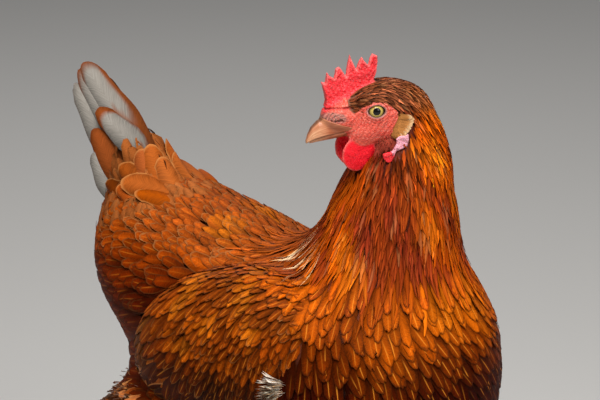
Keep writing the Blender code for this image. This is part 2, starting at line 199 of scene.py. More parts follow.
def wing_field(p):
    """Both folded wings."""
    return ellipsoid(folded(p, 0), WING_AT, WING_RADII, WING_PITCH)


def body_field(p):
    """The outer surface of her plumage without head, wings and tail."""
    fanned = blended([neck_field(p), trunk_field(p)], HACKLE_FAN)
    return blended([fanned, thigh_field(p)], 0.020)


def slope(field, points, reach=4e-4):
    """Unit direction in which a field rises fastest, from four samples at a tetrahedron's corners."""
    corners = np.array([(1, -1, -1), (-1, -1, 1), (-1, 1, -1), (1, 1, 1)])
    rise = sum(corner * field(points + corner * reach)[..., None] for corner in corners)
    return rise / np.maximum(np.linalg.norm(rise, axis=-1, keepdims=True), 1e-12)


def unit(vectors):
    return vectors / np.maximum(np.linalg.norm(vectors, axis=-1, keepdims=True), 1e-12)


def settle(points):
    """From her own axes into the frame."""
    return np.asarray(points) - (0, BOX_MIDDLE_Y, 0)


# ---------------------------------------------------------------- meshes


def make_piece(name, points, faces, material, replaced=(), sharp=None):
    """An object at the origin from points in her own axes and a list of face arrays, each with one
    row for each face. sharp marks the points whose edges to each other stay crisp."""
    mesh = bpy.data.meshes.new(name)
    mesh.vertices.add(len(points))
    mesh.vertices.foreach_set("co", settle(points).astype(np.float32).ravel())
    sizes = np.concatenate([np.full(len(f), f.shape[1]) for f in faces])
    corners = np.concatenate([f.ravel() for f in faces]).astype(np.int32)
    mesh.loops.add(len(corners))
    mesh.loops.foreach_set("vertex_index", corners)
    mesh.polygons.add(len(sizes))
    starts = np.concatenate([[0], np.cumsum(sizes)[:-1]]).astype(np.int32)
    mesh.polygons.foreach_set("loop_start", starts)
    mesh.polygons.foreach_set("use_smooth", np.ones(len(sizes), bool))
    mesh.update(calc_edges=True)
    mesh.validate()
    if sharp is not None:
        ends = np.empty(2 * len(mesh.edges), np.int32)
        mesh.edges.foreach_get("vertices", ends)
        crisp = mesh.attributes.new("sharp_edge", "BOOLEAN", "EDGE")
        crisp.data.foreach_set("value", sharp[ends[::2]] & sharp[ends[1::2]])
    mesh.materials.append(material)
    piece = bpy.data.objects.new(name, mesh)
    bpy.context.scene.collection.objects.link(piece)
    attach(piece, "root")
    if replaced:
        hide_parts(*replaced)
    return piece


def add_map(piece, name, places):
    """A UV map from one place for each point."""
    corners = np.empty(len(piece.data.loops), np.int32)
    piece.data.loops.foreach_get("vertex_index", corners)
    layer = piece.data.uv_layers.new(name=name)
    layer.data.foreach_set("uv", places[corners].astype(np.float32).ravel())


def add_colours(piece, name, colours, fourth=1.0):
    """A colour attribute from one row of three numbers for each point, and a fourth number."""
    fourth = np.broadcast_to(fourth, len(colours))[:, None]
    layer = piece.data.attributes.new(name, "FLOAT_COLOR", "POINT")
    layer.data.foreach_set("color", np.hstack([colours, fourth]).astype(np.float32).ravel())


def grid_faces(rows, columns, closed=True):
    """Quads of a grid of points, joined round its columns where closed."""
    r, c = np.meshgrid(np.arange(rows - 1), np.arange(columns - (not closed)), indexing="ij")
    after = (c + 1) % columns
    quads = [r * columns + c, r * columns + after, (r + 1) * columns + after, (r + 1) * columns + c]
    return np.stack(quads, -1).reshape(-1, 4)


def capped_tube(rings):
    """Points and faces of rings closed at both ends by fans round a middle point."""
    rows, columns = rings.shape[:2]
    points = np.concatenate([rings.reshape(-1, 3), rings[:1].mean(1), rings[-1:].mean(1)])
    here = np.arange(columns)
    after = (here + 1) % columns
    last = (rows - 1) * columns
    near = np.stack([after, here, np.full(columns, rows * columns)], -1)
    far = np.stack([last + here, last + after, np.full(columns, rows * columns + 1)], -1)
    return points, [grid_faces(rows, columns), near, far]


def full_turn(count):
    """Evenly spaced angles of one turn."""
    return np.arange(count) * 2 * math.pi / count


def add_tube_map(piece, first, second, ends):
    """The map of a capped tube from two numbers, each for its rows or its columns, and its ends."""
    grid = np.stack(np.broadcast_arrays(first, second), -1).reshape(-1, 2)
    add_map(piece, "vane", np.concatenate([grid, ends]))


def facing_out(points, faces):
    """The faces turned round if they enclose a negative volume."""
    volume = 0.0
    for f in faces:
        for i in range(1, f.shape[1] - 1):
            a, b, c = points[f[:, 0]], points[f[:, i]], points[f[:, i + 1]]
            volume += np.einsum("ij,ij->", a, np.cross(b, c))
    return faces if volume > 0 else [f[:, ::-1] for f in faces]


def joined(shapes):
    """One list of points and one of face arrays from several shapes, each (points, faces)."""
    points = np.concatenate([s[0] for s in shapes])
    starts = np.concatenate([[0], np.cumsum([len(s[0]) for s in shapes])[:-1]])
    faces = [f + start for s, start in zip(shapes, starts) for f in s[1]]
    return points, faces


def surface_of(field, low, high, step):
    """Closed mesh of a field's zero surface. Space is cut into cubes, each cube that the surface
    crosses gets one point at the mean of the crossings on its edges, and each crossed edge gets the
    quad of the four cubes round it."""
    axes = [np.arange(a, b + step, step) for a, b in zip(low, high)]
    shape = np.array([len(a) for a in axes])
    values = np.empty(shape, np.float32)
    for i, x in enumerate(axes[0]):
        y, z = np.meshgrid(axes[1], axes[2], indexing="ij")
        values[i] = field(np.stack([np.full_like(y, x), y, z], -1))
    values[[0, -1]] = values[:, [0, -1]] = values[:, :, [0, -1]] = step
    cells = shape - 1
    total = int(np.prod(cells))
    sums, counts, quads = np.zeros((3, total)), np.zeros(total), []
    for axis in range(3):
        before = np.take(values, range(shape[axis] - 1), axis)
        after = np.take(values, range(1, shape[axis]), axis)
        index = np.argwhere((before < 0) != (after < 0))
        start, end = before[tuple(index.T)], after[tuple(index.T)]
        place = index.astype(float)
        place[:, axis] += start / (start - end)
        u, v = (axis + 1) % 3, (axis + 2) % 3
        ring = []
        for du, dv in ((0, 0), (1, 0), (1, 1), (0, 1)):
            cell = index.copy()
            cell[:, u] -= du
            cell[:, v] -= dv
            flat = np.ravel_multi_index(cell.T, cells)
            ring.append(flat)
            counts += np.bincount(flat, minlength=total)
            for k in range(3):
                sums[k] += np.bincount(flat, place[:, k], total)
        ring = np.stack(ring, -1)
        ring[start > 0] = ring[start > 0, ::-1]
        quads.append(ring)
    used = np.flatnonzero(counts)
    number = np.zeros(total, int)
    number[used] = np.arange(len(used))
    points = (sums[:, used] / counts[used]).T * step + np.array([a[0] for a in axes])
    points -= slope(field, points, step / 2) * field(points)[:, None] * 0.9
    faces = facing_out(points, [number[np.concatenate(quads)]])
    return points, faces


# ---------------------------------------------------------------- where feathers grow


def smooth_path(knots, count):
    """Points evenly spaced along a curve through the knots. Each stretch between two knots is a
    cubic whose slopes follow the neighbouring knots."""
    knots = np.array(knots, float)
    ends = np.concatenate([2 * knots[:1] - knots[1:2], knots, 2 * knots[-1:] - knots[-2:-1]])
    pieces = []
    for i in range(len(knots) - 1):
        t = np.linspace(0, 1, 24, endpoint=i == len(knots) - 2)[:, None]
        a, b, c, d = ends[i : i + 4]
        cubic = t**2 * (a - 2.5 * b + 2 * c - d / 2) + t**3 * (1.5 * (b - c) + (d - a) / 2)
        pieces.append(b + t * (c - a) / 2 + cubic)
    path = np.concatenate(pieces)
    run = np.concatenate([[0], np.cumsum(np.linalg.norm(np.diff(path, axis=0), axis=1))])
    even = np.linspace(0, run[-1], count)
    return np.stack([np.interp(even, run, path[:, k]) for k in range(3)], -1)


def cast(field, origins, rays, reach):
    """Where rays that start inside a field leave it, by halving."""
    near, far = np.zeros(rays.shape[:-1]), np.full(rays.shape[:-1], reach)
    for _ in range(26):
        middle = (near + far) / 2
        inside = field(origins + rays * middle[..., None]) < 0
        near, far = np.where(inside, middle, near), np.where(inside, far, middle)
    return origins + rays * near[..., None]


def tract(field, knots, along, around, reach, tilt=(0, 0)):
    """Rows of places on a field round a path, each row half a step round from the one before, with
    the way along the path at each. tilt leans the rays back at the path's start and on at its end,
    in degrees. Returns places, ways, the share along the path and the angle round it."""
    path = smooth_path(knots, along)
    forward = unit(np.gradient(path, axis=0))
    across = unit(np.cross(forward, np.cross((1.0, 0, 0), forward)))
    third = np.cross(forward, across)
    share = np.linspace(0, 1, along)
    lean = np.radians(-tilt[0] * (1 - ramp(share, 0, 0.22)) + tilt[1] * ramp(share, 0.74, 1))
    turn = (np.arange(around) + 0.5 * (np.arange(along)[:, None] % 2)) * 2 * math.pi / around

    def rays_at(angles):
        out = np.cos(angles)[..., None] * across[:, None] + np.sin(angles)[..., None] * third[:, None]
        return np.cos(lean)[:, None, None] * out + np.sin(lean)[:, None, None] * forward[:, None]

    places = cast(field, path[:, None], rays_at(turn), reach)
    level = cast(field, path[:, None], rays_at(0.5 * (turn[:1] + turn[1:2])), reach)
    ways = np.gradient(level, axis=0)
    angle = np.arctan2(np.sin(turn), np.cos(turn))
    flat = [a.reshape(-1, 3) for a in (places, ways)]
    return flat[0], unit(flat[1]), np.repeat(share, around), angle.ravel()


def thinned(places, ways, gaps, stretch=1.0):
    """Numbers of the places to keep, in order, so that no two are nearer than their gap across the
    way they lie, or that gap times stretch along it."""
    tree_of_all = KDTree(len(places))
    for i, place in enumerate(places):
        tree_of_all.insert(place, i)
    tree_of_all.balance()
    free = np.ones(len(places), bool)
    stretch = np.broadcast_to(stretch, len(places))
    kept = []
    for i, (place, way, gap, longer) in enumerate(zip(places, ways, gaps, stretch)):
        if free[i]:
            kept.append(i)
            near = np.array([found[1] for found in tree_of_all.find_range(place, gap * longer)])
            away = places[near] - place
            squared = np.sum(away * away, -1) - (away @ way) ** 2 * (1 - 1 / longer**2)
            free[near[squared < gap * gap]] = False
    return np.array(kept, int)


def picked(rows, keep):
    """The same chosen entries of several arrays."""
    return [a[keep] for a in rows]


def turned_about(vectors, axes, angles):
    """Each vector turned about its own axis, at right angles to it, by its own angle."""
    angles = np.asarray(angles)[..., None]
    return vectors * np.cos(angles) + np.cross(axes, vectors) * np.sin(angles)


# ---------------------------------------------------------------- feathers

COVERT_STATIONS = (0, 0.15, 0.40, 0.62, 0.80, 0.92, 1.0)
STREAK_STATIONS = (0, 0.20, 0.45, 0.70, 0.87, 1.0)
FLIGHT_STATIONS = tuple(np.round(np.linspace(0, 1, 17), 3))
WISP_STATIONS = (0, 0.25, 0.5, 0.75, 1.0)
PLATE_STATIONS = (0, 0.3, 0.7, 0.92, 1.0)


def draped(field, roots, ways, lengths, stations, root_depth, lift, bends):
    """Middle line of each feather, from its root on towards its way over the field's surface. It
    starts root_depth under the surface and its tip ends lift over it. Returns points, ways and
    normals, each (feathers, stations, 3)."""
    lengths, root_depth, lift = (np.broadcast_to(v, len(roots)) for v in (lengths, root_depth, lift))
    points, ways_out, normals = [], [], []
    here, way, before = roots.copy(), ways.copy(), 0.0
    for share in stations:
        here = here + way * (lengths * (share - before))[:, None]
        before = share
        height = -root_depth + (root_depth + lift) * share**1.25
        for _ in range(2):
            normal = slope(field, here)
            here = here - normal * (field(here) - height)[:, None]
        way = unit(way - normal * np.sum(way * normal, -1, keepdims=True))
        way = turned_about(way, normal, bends * share)
        points.append(here)
        ways_out.append(way)
        normals.append(normal)
    return (np.stack(a, 1) for a in (points, ways_out, normals))


def vane_cells(rings, columns):
    """Faces of one vane and which of its points lie on its rim. Its points are its root, then for
    each ring its top from side to side and one below the middle."""
    size = columns + 1
    first = 1 + np.arange(rings)[:, None] * size
    top, below = first + np.arange(columns), first + columns
    loop = np.concatenate([top, below], 1)
    after = np.roll(loop, -1, 1)
    quads = np.stack([loop[:-1], after[:-1], after[1:], loop[1:]], -1).reshape(-1, 4)
    root_fan = np.stack([after[0], loop[0], np.zeros(size, int)], -1)
    tip = top[-1]
    tip_fan = np.stack([tip[:-1], tip[1:], np.full(columns - 1, below[-1, 0])], -1)
    rim = np.zeros(rings * size + 1, bool)
    rim[0] = True
    rim[top[:, 0]] = rim[top[:, -1]] = rim[tip] = True
    return quads, np.concatenate([root_fan, tip_fan]), rim


def vanes(middles, ways, normals, lengths, widths, outline, columns, camber, thick, ends):
    """Closed thin vanes round their middle lines. outline gives each station's half width as a share
    of the feather's own. ends is how far the tip's corners are rounded off, how ragged it is and the
    power of its curve: each column of points ends at its own share of the length and is drawn back
    along the vane by what it lacks, more towards the tip. Across its width a vane falls away by
    camber times the square of the distance from the shaft. Returns (feathers, points, 3)."""
    count, stations = middles.shape[:2]
    side = np.cross(ways, normals)
    x = np.linspace(-1, 1, columns)
    round_off, ragged, power = ends
    reach = 1 - round_off * np.abs(x) ** power + ragged * chance.normal(0, 1, (count, columns))
    half = (widths[:, None] / 2 * outline)[:, 1:, None, None]
    drawn = ramp(np.linspace(0, 1, stations), 0.3, 1.0)[1:, None] * (reach - 1)[:, None]
    top = (
        middles[:, 1:, None]
        + half * x[:, None] * side[:, 1:, None]
        - half * camber * 2 * x[:, None] ** 2 * normals[:, 1:, None]
        + (lengths[:, None, None] * drawn)[..., None] * ways[:, 1:, None]
    )
    depth = thick * np.linspace(1.3, 0.5, stations)[1:, None]
    under = top[:, :, columns // 2] - normals[:, 1:] * depth
    rings = np.concatenate([top, under[:, :, None]], 2).reshape(count, -1, 3)
    return np.concatenate([middles[:, :1], rings], 1)


def pattern_places(stations, columns):
    """Place of each of a vane's points on its pattern: -1 to 1 across and 0 to 1 along."""
    x = np.append(np.linspace(-1, 1, columns), 0)
    rings = np.stack(np.broadcast_arrays(x[None], np.array(stations)[1:, None]), -1).reshape(-1, 2)
    return np.concatenate([[(0, 0)], rings])


def rounded(stations, widest=0.45, tip=0.75, root=0.25):
    """Outline of a feather: a narrow root, widest at that share, then a little narrower to its tip."""
    s = np.array(stations)
    return (root + (1 - root) * ramp(s, 0, widest)) * (1 - (1 - tip) * ramp(s, widest, 1))


def marked(count, streak=0.0, fringe=0.0, edge=0.0):
    """Marks of each feather: how strong its shaft streak, pale fringe and dark edge are. The dark
    edge is partly its own darker rim and partly painted shadow, and it also sets the painted shade
    towards the feather's root. The third of the four numbers is spare."""
    return np.stack(np.broadcast_arrays(streak, fringe, 0.0, edge, np.zeros(count))[:4], -1)


def make_coat(name, points, stations, tints, marks, roots_map, material, replaced=()):
    """One coat piece from the points of its vanes. tints are each feather's colour, or each point's,
    and roots_map is its root's place on the unwrap."""
    count, size = points.shape[:2]
    columns = (size - 1) // (len(stations) - 1) - 1
    quads, fans, rim = vane_cells(len(stations) - 1, columns)
    offsets = (np.arange(count) * size)[:, None, None]
    faces = [(quads[None] + offsets).reshape(-1, 4), (fans[None] + offsets).reshape(-1, 3)]
    piece = make_piece(name, points.reshape(-1, 3), faces, material, replaced, np.tile(rim, count))
    pattern = pattern_places(stations, columns)
    add_map(piece, "vane", np.tile(pattern, (count, 1)))
    patch = (roots_map[:, None] + (pattern - (0, 0.5)) * (0.0015, 0.003)).reshape(-1, 2)
    add_map(piece, "OFBake", patch)
    if tints.ndim == 2:
        tints = np.repeat(tints[:, None], size, 1)
    tints = np.clip(tints.reshape(-1, 3), 0, 1)
    lengths = np.repeat(10 * np.linalg.norm(points[:, -1] - points[:, 0], axis=1), size)
    add_colours(piece, "tint", tints, lengths)
    add_colours(piece, "marks", np.repeat(marks[:, :3], size, 0), np.repeat(marks[:, 3], size))


def unwrapped(u, v, margin=0.02):
    """Places on the unwrap from two shares, drawn in by a margin all round."""
    return np.stack(np.broadcast_arrays(u, v), -1) * (1 - 2 * margin) + margin


def side_map(sign, angle, share):
    """Places on the unwrap of one of her sides: her left half fills one half of it."""
    return unwrapped(0.25 + 0.5 * (sign < 0) + angle / (4 * math.pi), share)


# ---------------------------------------------------------------- shader building


def give(tree, socket, value):
    """Join a socket to another node's output, or set it. A colour of three numbers is opaque."""
    if isinstance(value, bpy.types.NodeSocket):
        tree.links.new(value, socket)
    elif socket.type == "RGBA" and len(value) == 3:
        socket.default_value = (*value, 1)
    else:
        socket.default_value = value


def add_node(tree, kind, inputs=(), **settings):
    """A node with its settings and its inputs."""
    made = tree.nodes.new("ShaderNode" + kind)
    for key, value in settings.items():
        setattr(made, key, value)
    for key, value in dict(inputs).items():
        give(tree, made.inputs[key], value)
    return made


def calc(tree, operation, first, second=0.0, third=0.0, clamp=False):
    values = {0: first, 1: second, 2: third}
    return add_node(tree, "Math", values, operation=operation, use_clamp=clamp).outputs[0]


def times(tree, first, second):
    return calc(tree, "MULTIPLY", first, second)


def scaled(tree, value, factor, offset):
    return calc(tree, "MULTIPLY_ADD", value, factor, offset)


def mask(tree, value, low, high):
    """0 below low and 1 above high, or the other way round where low is the larger."""
    settings = {"Value": value, "From Min": low, "From Max": high}
    return add_node(tree, "MapRange", settings, interpolation_type="SMOOTHSTEP").outputs[0]


def mix(tree, factor, first, second, blend="MIX"):
    inputs = {0: factor, 6: first, 7: second}
    return add_node(tree, "Mix", inputs, data_type="RGBA", blend_type=blend).outputs[2]


def darkened(tree, colour, grain):
    """A colour times a number that varies over the surface."""
    grey = add_node(tree, "CombineXYZ", {0: grain, 1: grain, 2: grain}).outputs[0]
    return mix(tree, 1.0, colour, grey, "MULTIPLY")


def noise(tree, scale, detail, place=None):
    """Noise over the surface, or at a place of its own."""
    if place is None:
        place = add_node(tree, "TexCoord").outputs["Object"]
    return add_node(tree, "TexNoise", {"Vector": place, "Scale": scale, "Detail": detail}).outputs[0]


def vane_place(tree):
    """The two numbers of the piece's own map."""
    pattern = add_node(tree, "UVMap", uv_map="vane").outputs[0]
    return add_node(tree, "SeparateXYZ", {0: pattern}).outputs


def stretched(tree, place, first, second):
    """The two numbers of a map, each times its own factor."""
    parts = {0: times(tree, place[0], first), 1: times(tree, place[1], second)}
    return add_node(tree, "CombineXYZ", parts).outputs[0]


def new_group(name, inputs, outputs):
    """A shader node group with named sockets: inputs as {name: start value}, outputs as {name: type}."""
    group = bpy.data.node_groups.new(name, "ShaderNodeTree")
    for label, value in inputs.items():
        kind = "NodeSocketFloat" if isinstance(value, float) else "NodeSocketColor"
        socket = group.interface.new_socket(label, in_out="INPUT", socket_type=kind)
        socket.default_value = value if isinstance(value, float) else (*value, 1)
    for label, kind in outputs.items():
        group.interface.new_socket(label, in_out="OUTPUT", socket_type=kind)
    return group, group.nodes.new("NodeGroupInput").outputs, group.nodes.new("NodeGroupOutput").inputs


def use_group(tree, group, **inputs):
    made = tree.nodes.new("ShaderNodeGroup")
    made.node_tree = group
    for key, value in inputs.items():
        give(tree, made.inputs[key], value)
    return made.outputs


def new_material(name, roughness, **settings):
    """A material, its node tree and its shader's inputs, with what is the same all over it set."""
    material = bpy.data.materials.new(name)
    material.use_nodes = True
    sockets = material.node_tree.nodes["Principled BSDF"].inputs
    for key, value in {"Roughness": roughness, **settings}.items():
        give(material.node_tree, sockets[key.replace("_", " ")], value)
    return material, material.node_tree, sockets


def add_bump(tree, sockets, height, strength, distance):
    bump = add_node(tree, "Bump", {"Height": height, "Strength": strength, "Distance": distance})
    give(tree, sockets["Normal"], bump.outputs[0])


def attribute(tree, name):
    """Red, green and blue of a colour attribute, with the colour itself and the fourth number."""
    read = add_node(tree, "Attribute", attribute_name=name)
    parts = add_node(tree, "SeparateColor", {"Color": read.outputs["Color"]})
    return read.outputs["Color"], parts.outputs, read.outputs["Alpha"]


def barb_group():
    """Fine barbs that slope from the shaft to the tip, with masks for the shaft and the rim. Across
    runs from -1 to 1 and Along from root to tip. Length is the vane's own, in tenths of a metre, and
    Count the barbs in a vane as long as that."""
    group, given, result = new_group(
        "feather barbs",
        {"Across": 0.0, "Along": 0.0, "Length": 0.2, "Slope": 0.16, "Count": 110.0},
        {"Shaft": "NodeSocketFloat", "Rim": "NodeSocketFloat", "Barbs": "NodeSocketFloat"},
    )
    out = calc(group, "ABSOLUTE", given["Across"])
    sloped = calc(group, "SUBTRACT", given["Along"], times(group, out, given["Slope"]))
    place = add_node(group, "TexCoord").outputs["Object"]
    drift = add_node(group, "VectorMath", {0: place, 1: (30, 30, 30)}, operation="MULTIPLY").outputs[0]
    lines = times(group, sloped, times(group, given["Length"], given["Count"]))
    line = add_node(group, "CombineXYZ", {"X": lines, "Y": times(group, given["Across"], 1.4)})
    spot = add_node(group, "VectorMath", {0: line.outputs[0], 1: drift}, operation="ADD").outputs[0]
    barbs = add_node(group, "TexNoise", {"Vector": spot, "Scale": 1.0, "Detail": 3.0, "Roughness": 0.6})
    narrow = calc(group, "SUBTRACT", 0.24, times(group, given["Along"], 0.14))
    shaft = calc(group, "SUBTRACT", 1.0, calc(group, "DIVIDE", out, narrow), clamp=True)
    tip = mask(group, given["Along"], 0.92, 1.0)
    ends = times(group, mask(group, given["Along"], 1.0, 0.88), mask(group, given["Along"], 0.35, 0.75))
    give(group, result["Shaft"], times(group, shaft, ends))
    give(group, result["Rim"], calc(group, "MAXIMUM", mask(group, out, 0.76, 1.0), tip))
    give(group, result["Barbs"], barbs.outputs[0])
    return group


def plumage_material(name, barbs, slant, count):
    """Feathers: each one's own colour, barbed and brightest along the middle, darker to the sides and
    towards the root as painted shade, the root's as strong as the dark edge mark, with a light streak
    along the shaft, a pale fringe or a dark edge where its marks say so. The dark edge is partly the
    feather's own darker rim and partly painted shadow between the feathers."""
    material, tree, sockets = new_material(
        name, 0.5, Specular_IOR_Level=0.06, Specular_Tint=(1.0, 0.60, 0.30)
    )
    place = vane_place(tree)
    tint, _, length = attribute(tree, "tint")
    marks = use_group(
        tree, barbs, Across=place[0], Along=place[1], Length=length, Slope=slant, Count=count
    )
    _, (streak, fringe, _), edge = attribute(tree, "marks")
    # Painted shade: each feather darker towards its sides, brightest along the middle.
    glow = mask(tree, calc(tree, "ABSOLUTE", place[0]), 1.0, 0.0)
    grain = scaled(tree, marks["Barbs"], 1.5, scaled(tree, glow, 0.45, -0.10))
    # Painted shade towards the root, under the feather that lies over it, as strong as the edge mark.
    shade = times(tree, mask(tree, place[1], 0.90, 0.40), times(tree, edge, 0.55))
    colour = darkened(tree, tint, times(tree, grain, calc(tree, "SUBTRACT", 1.02, shade)))
    # The dark rim colour is partly the feather's own darker rim and partly painted shadow between the
    # feathers.
    for where, amount, share, other in (
        ("Rim", edge, 0.80, (0.035, 0.008, 0.002)),
        ("Rim", fringe, 0.50, (0.88, 0.42, 0.13)),
        ("Shaft", streak, 0.80, (0.95, 0.33, 0.03)),
    ):
        colour = mix(tree, times(tree, marks[where], amount), colour, mix(tree, share, tint, other))
    give(tree, sockets["Base Color"], colour)
    give(tree, sockets["Roughness"], scaled(tree, marks["Barbs"], 0.35, 0.34))
    add_bump(tree, sockets, marks["Barbs"], 0.35, 0.0004)
    return material


def skin_material():
    """Bare skin and what lies under the feathers: the colour of each place, mottled, and pebbled
    where it is bare."""
    material, tree, sockets = new_material(
        "skin", 0.5, Subsurface_Weight=0.12, Subsurface_Scale=0.002,
        Subsurface_Radius=(1.0, 0.25, 0.12), Specular_IOR_Level=0.3,
    )
    tint, _, _ = attribute(tree, "tint")
    _, (bare, pale, _), _ = attribute(tree, "marks")
    place = add_node(tree, "TexCoord").outputs["Object"]
    fine, broad = noise(tree, 900.0, 3.0, place), noise(tree, 180.0, 2.0, place)
    cells = add_node(tree, "TexVoronoi", {"Vector": place, "Scale": 950.0}, feature="F1").outputs[0]
    colour = darkened(tree, tint, scaled(tree, fine, 0.65, scaled(tree, broad, 0.6, 0.375)))
    dots = times(tree, mask(tree, cells, 0.38, 0.1), times(tree, pale, 0.55))
    give(tree, sockets["Base Color"], mix(tree, dots, colour, (0.90, 0.42, 0.34)))
    add_bump(tree, sockets, times(tree, calc(tree, "SUBTRACT", fine, cells), bare), 0.60, 0.0006)
    give(tree, sockets["Roughness"], scaled(tree, bare, -0.22, scaled(tree, fine, 0.2, 0.55)))
    return material


def scale_material():
    """Scutes: dull yellow horn, browner between the plates."""
    material, tree, sockets = new_material("shank scales", 0.42)
    tint, _, _ = attribute(tree, "tint")
    fine = noise(tree, 700.0, 3.0)
    # Browner towards each plate's root, between the plates.
    rootward = mask(tree, vane_place(tree)[1], 0.75, 0.25)
    colour = mix(tree, times(tree, rootward, 0.55), tint, (0.20, 0.11, 0.05))
    give(tree, sockets["Base Color"], mix(tree, times(tree, fine, 0.5), colour, (0.75, 0.58, 0.30)))
    add_bump(tree, sockets, fine, 0.3, 0.0003)
    return material


def horn_material(name, pale, dark):
    """Horn: long fibres that run from the root to the tip, times the piece's own tint. The first
    number of the piece's map runs round it and the second along it."""
    material, tree, sockets = new_material(name, 0.40, Coat_Weight=0.04)
    fibre = noise(tree, 2.0, 4.0, stretched(tree, vane_place(tree), 14.0, 1.6))
    tint, _, _ = attribute(tree, "tint")
    colour = mix(tree, mask(tree, fibre, 0.35, 0.75), dark, pale)
    give(tree, sockets["Base Color"], mix(tree, 1.0, colour, tint, "MULTIPLY"))
    add_bump(tree, sockets, fibre, 0.25, 0.0004)
    return material


def eye_material():
    """A wet eye: black pupil, yellow-brown iris with fine spokes and a dark rim. The map's first
    number is the angle from the eye's axis as a share of a right angle, and the second turns round."""
    material, tree, sockets = new_material(
        "eye", 0.04, Coat_Weight=0.5, Coat_Roughness=0.02, Specular_IOR_Level=0.1
    )
    place = vane_place(tree)
    turned_first = {0: place[1], 1: place[0]}
    streaks = noise(tree, 1.0, 2.0, stretched(tree, turned_first, 40.0, 3.0))
    iris = mix(tree, streaks, (0.26, 0.15, 0.02), (0.98, 0.76, 0.20))
    iris = mix(tree, mask(tree, place[0], 0.57, 0.42), (0.30, 0.18, 0.05), iris)
    colour = mix(tree, mask(tree, place[0], 0.265, 0.285), (0.004, 0.003, 0.003), iris)
    colour = mix(tree, mask(tree, place[0], 0.54, 0.60), colour, (0.02, 0.012, 0.008))
    give(tree, sockets["Base Color"], colour)
    return material


# ---------------------------------------------------------------- colours of the plumage

MAROON = np.array((0.14, 0.016, 0.005))
RUST = np.array((0.36, 0.052, 0.001))
ORANGE = np.array((0.60, 0.105, 0.001))
GOLD = np.array((0.88, 0.230, 0.006))
UMBER = np.array((0.17, 0.031, 0.002))
DULL = np.array((0.40, 0.075, 0.008))
CROWN = np.array((0.215, 0.062, 0.026))
BUFF = np.array((0.62, 0.300, 0.110))
CREAM = np.array((0.80, 0.700, 0.560))
HEADING_WAY = np.array((math.cos(HEAD_HEADING), math.sin(HEAD_HEADING), 0))
THROAT_WAY = np.array((-0.83, -0.56, 0))  # level, from the neck's middle to its dark side
NECK_AT = np.array((0.001, -0.074, 0))  # the neck's upright middle line
ACCENTS = [
    ((0.019, 0.044, 0.292), 0.018, 0.65, GOLD),
    ((0.037, 0.0455, 0.284), 0.0060, 1.00, CREAM),
    ((0.049, -0.081, 0.299), 0.014, 0.65, GOLD),
    ((0.058, -0.088, 0.282), 0.011, 0.50, MAROON),
    ((0.083, -0.050, 0.266), 0.020, 0.55, GOLD),
    ((0.012, -0.120, 0.275), 0.022, 0.35, GOLD),
]  # place on her left, size, strength and colour of patches that differ from what is round them


def toned(colours, share, other):
    return colours + np.asarray(share)[..., None] * (other - colours)


def layered(colours, *layers):
    """Colours with others laid over them in turn, each given as its share and the colour."""
    for share, other in layers:
        colours = toned(colours, share, other)
    return colours


def shaded(colours, *layers):
    """Colours multiplied by factors in turn, each given as its share and the factors."""
    for share, factors in layers:
        colours = toned(colours, share, colours * factors)
    return colours


def tone(p):
    """Colour of the plumage at each place: orange on breast and flanks, dull brown over the back,
    buff under the tail, maroon down the throat and dark on the crown. Low down on the body it is
    darkened as painted shade, and over the rump it is darkened partly in its own colour and partly as
    painted shade."""
    x, y, z = p[..., 0], p[..., 1], p[..., 2]
    back = ramp(z, 0.235, 0.270) * ramp(y, -0.06, -0.02) * ramp(np.abs(x), 0.062, 0.035)
    under = ramp(z, 0.205, 0.165) * ramp(y, 0.045, 0.10)
    neck = ramp(z, 0.275, 0.302) * ramp(y, -0.01, -0.035)
    toward = unit(p - NECK_AT - np.array((0, 0, 1.0)) * z[..., None]) @ THROAT_WAY
    dark = neck * ramp(z, 0.270, 0.300) * ramp(toward, 0.72, 0.97)
    clumps = 0.5 + 0.5 * ripple(p * (1, 1, 0.45), 0.008, 2)
    crown = ramp(z, 0.388, 0.402)
    colour = layered(
        np.broadcast_to(RUST, p.shape),
        (0.5 + 0.5 * ripple(p, 0.030, 1), ORANGE),
        (0.80 * back * ramp(y, 0.15, 0.10), DULL),
        (0.50 * under, BUFF),
        (dark * 0.70, MAROON),
        (neck * 0.72 * ramp(clumps, 0.50, 0.85), MAROON * 1.5),
        (neck * (1 - dark) * 0.55 * ramp(clumps, 0.45, 0.1), GOLD),
        (0.85 * crown, CROWN),
    )
    q = to_head(p)
    brow = ramp(outline_distance(q[..., [0, 2]], FACE_OUTLINE), 0.0050, 0.0005)
    brow = brow * ramp(q[..., 2], 0.000, 0.004)
    colour = shaded(colour, (0.55 * brow * ramp(np.abs(q[..., 1]), 0.004, 0.009), 0.35))
    aside = folded(p, 0)
    for place, size, share, accent in ACCENTS:
        away = np.linalg.norm(aside - np.array(place), axis=-1)
        colour = toned(colour, share * ramp(away, size, 0.2 * size), accent)
    # Painted shade: darker low on the body; over the rump, partly its own darker colour and partly painted
    # shade.
    low = ramp(z, 0.296, 0.224)
    rear = ramp(y, 0.015, 0.06) * ramp(z, 0.325, 0.300) * (1 - 0.8 * back)
    return shaded(
        colour,
        (low * (1 - 0.6 * rear), (0.090, 0.024, 0.026)),
        (rear, (0.42, 0.265, 0.12)),
        (back, (0.84, 0.82, 0.75)),
        (neck * (1 - crown), (1.02, 0.88, 1.05)),
    )


def varied(colours, amount):
    """Each feather a little lighter or darker than its neighbours."""
    share = np.exp(chance.normal(0, amount, len(colours)))
    return np.clip(colours * share[:, None], 0, 1)


# ---------------------------------------------------------------- the whole outer surface

TAIL_COVERTS = ((0, 0.129, 0.290), (0.0215, 0.035, 0.030), 52)  # middle, radii and pitch


def no_wing_field(p):
    """The outer surface of the plumage but for the wings and the long tail feathers."""
    covered = blended([body_field(p), ellipsoid(p, *TAIL_COVERTS)], 0.010)
    return blended([covered, skull_field(to_head(p))], 0.010)


def coat_field(p):
    """The outer surface of all her plumage but the long tail feathers."""
    return blended([no_wing_field(p), wing_field(p)], 0.010)


# ---------------------------------------------------------------- the bare parts of the head

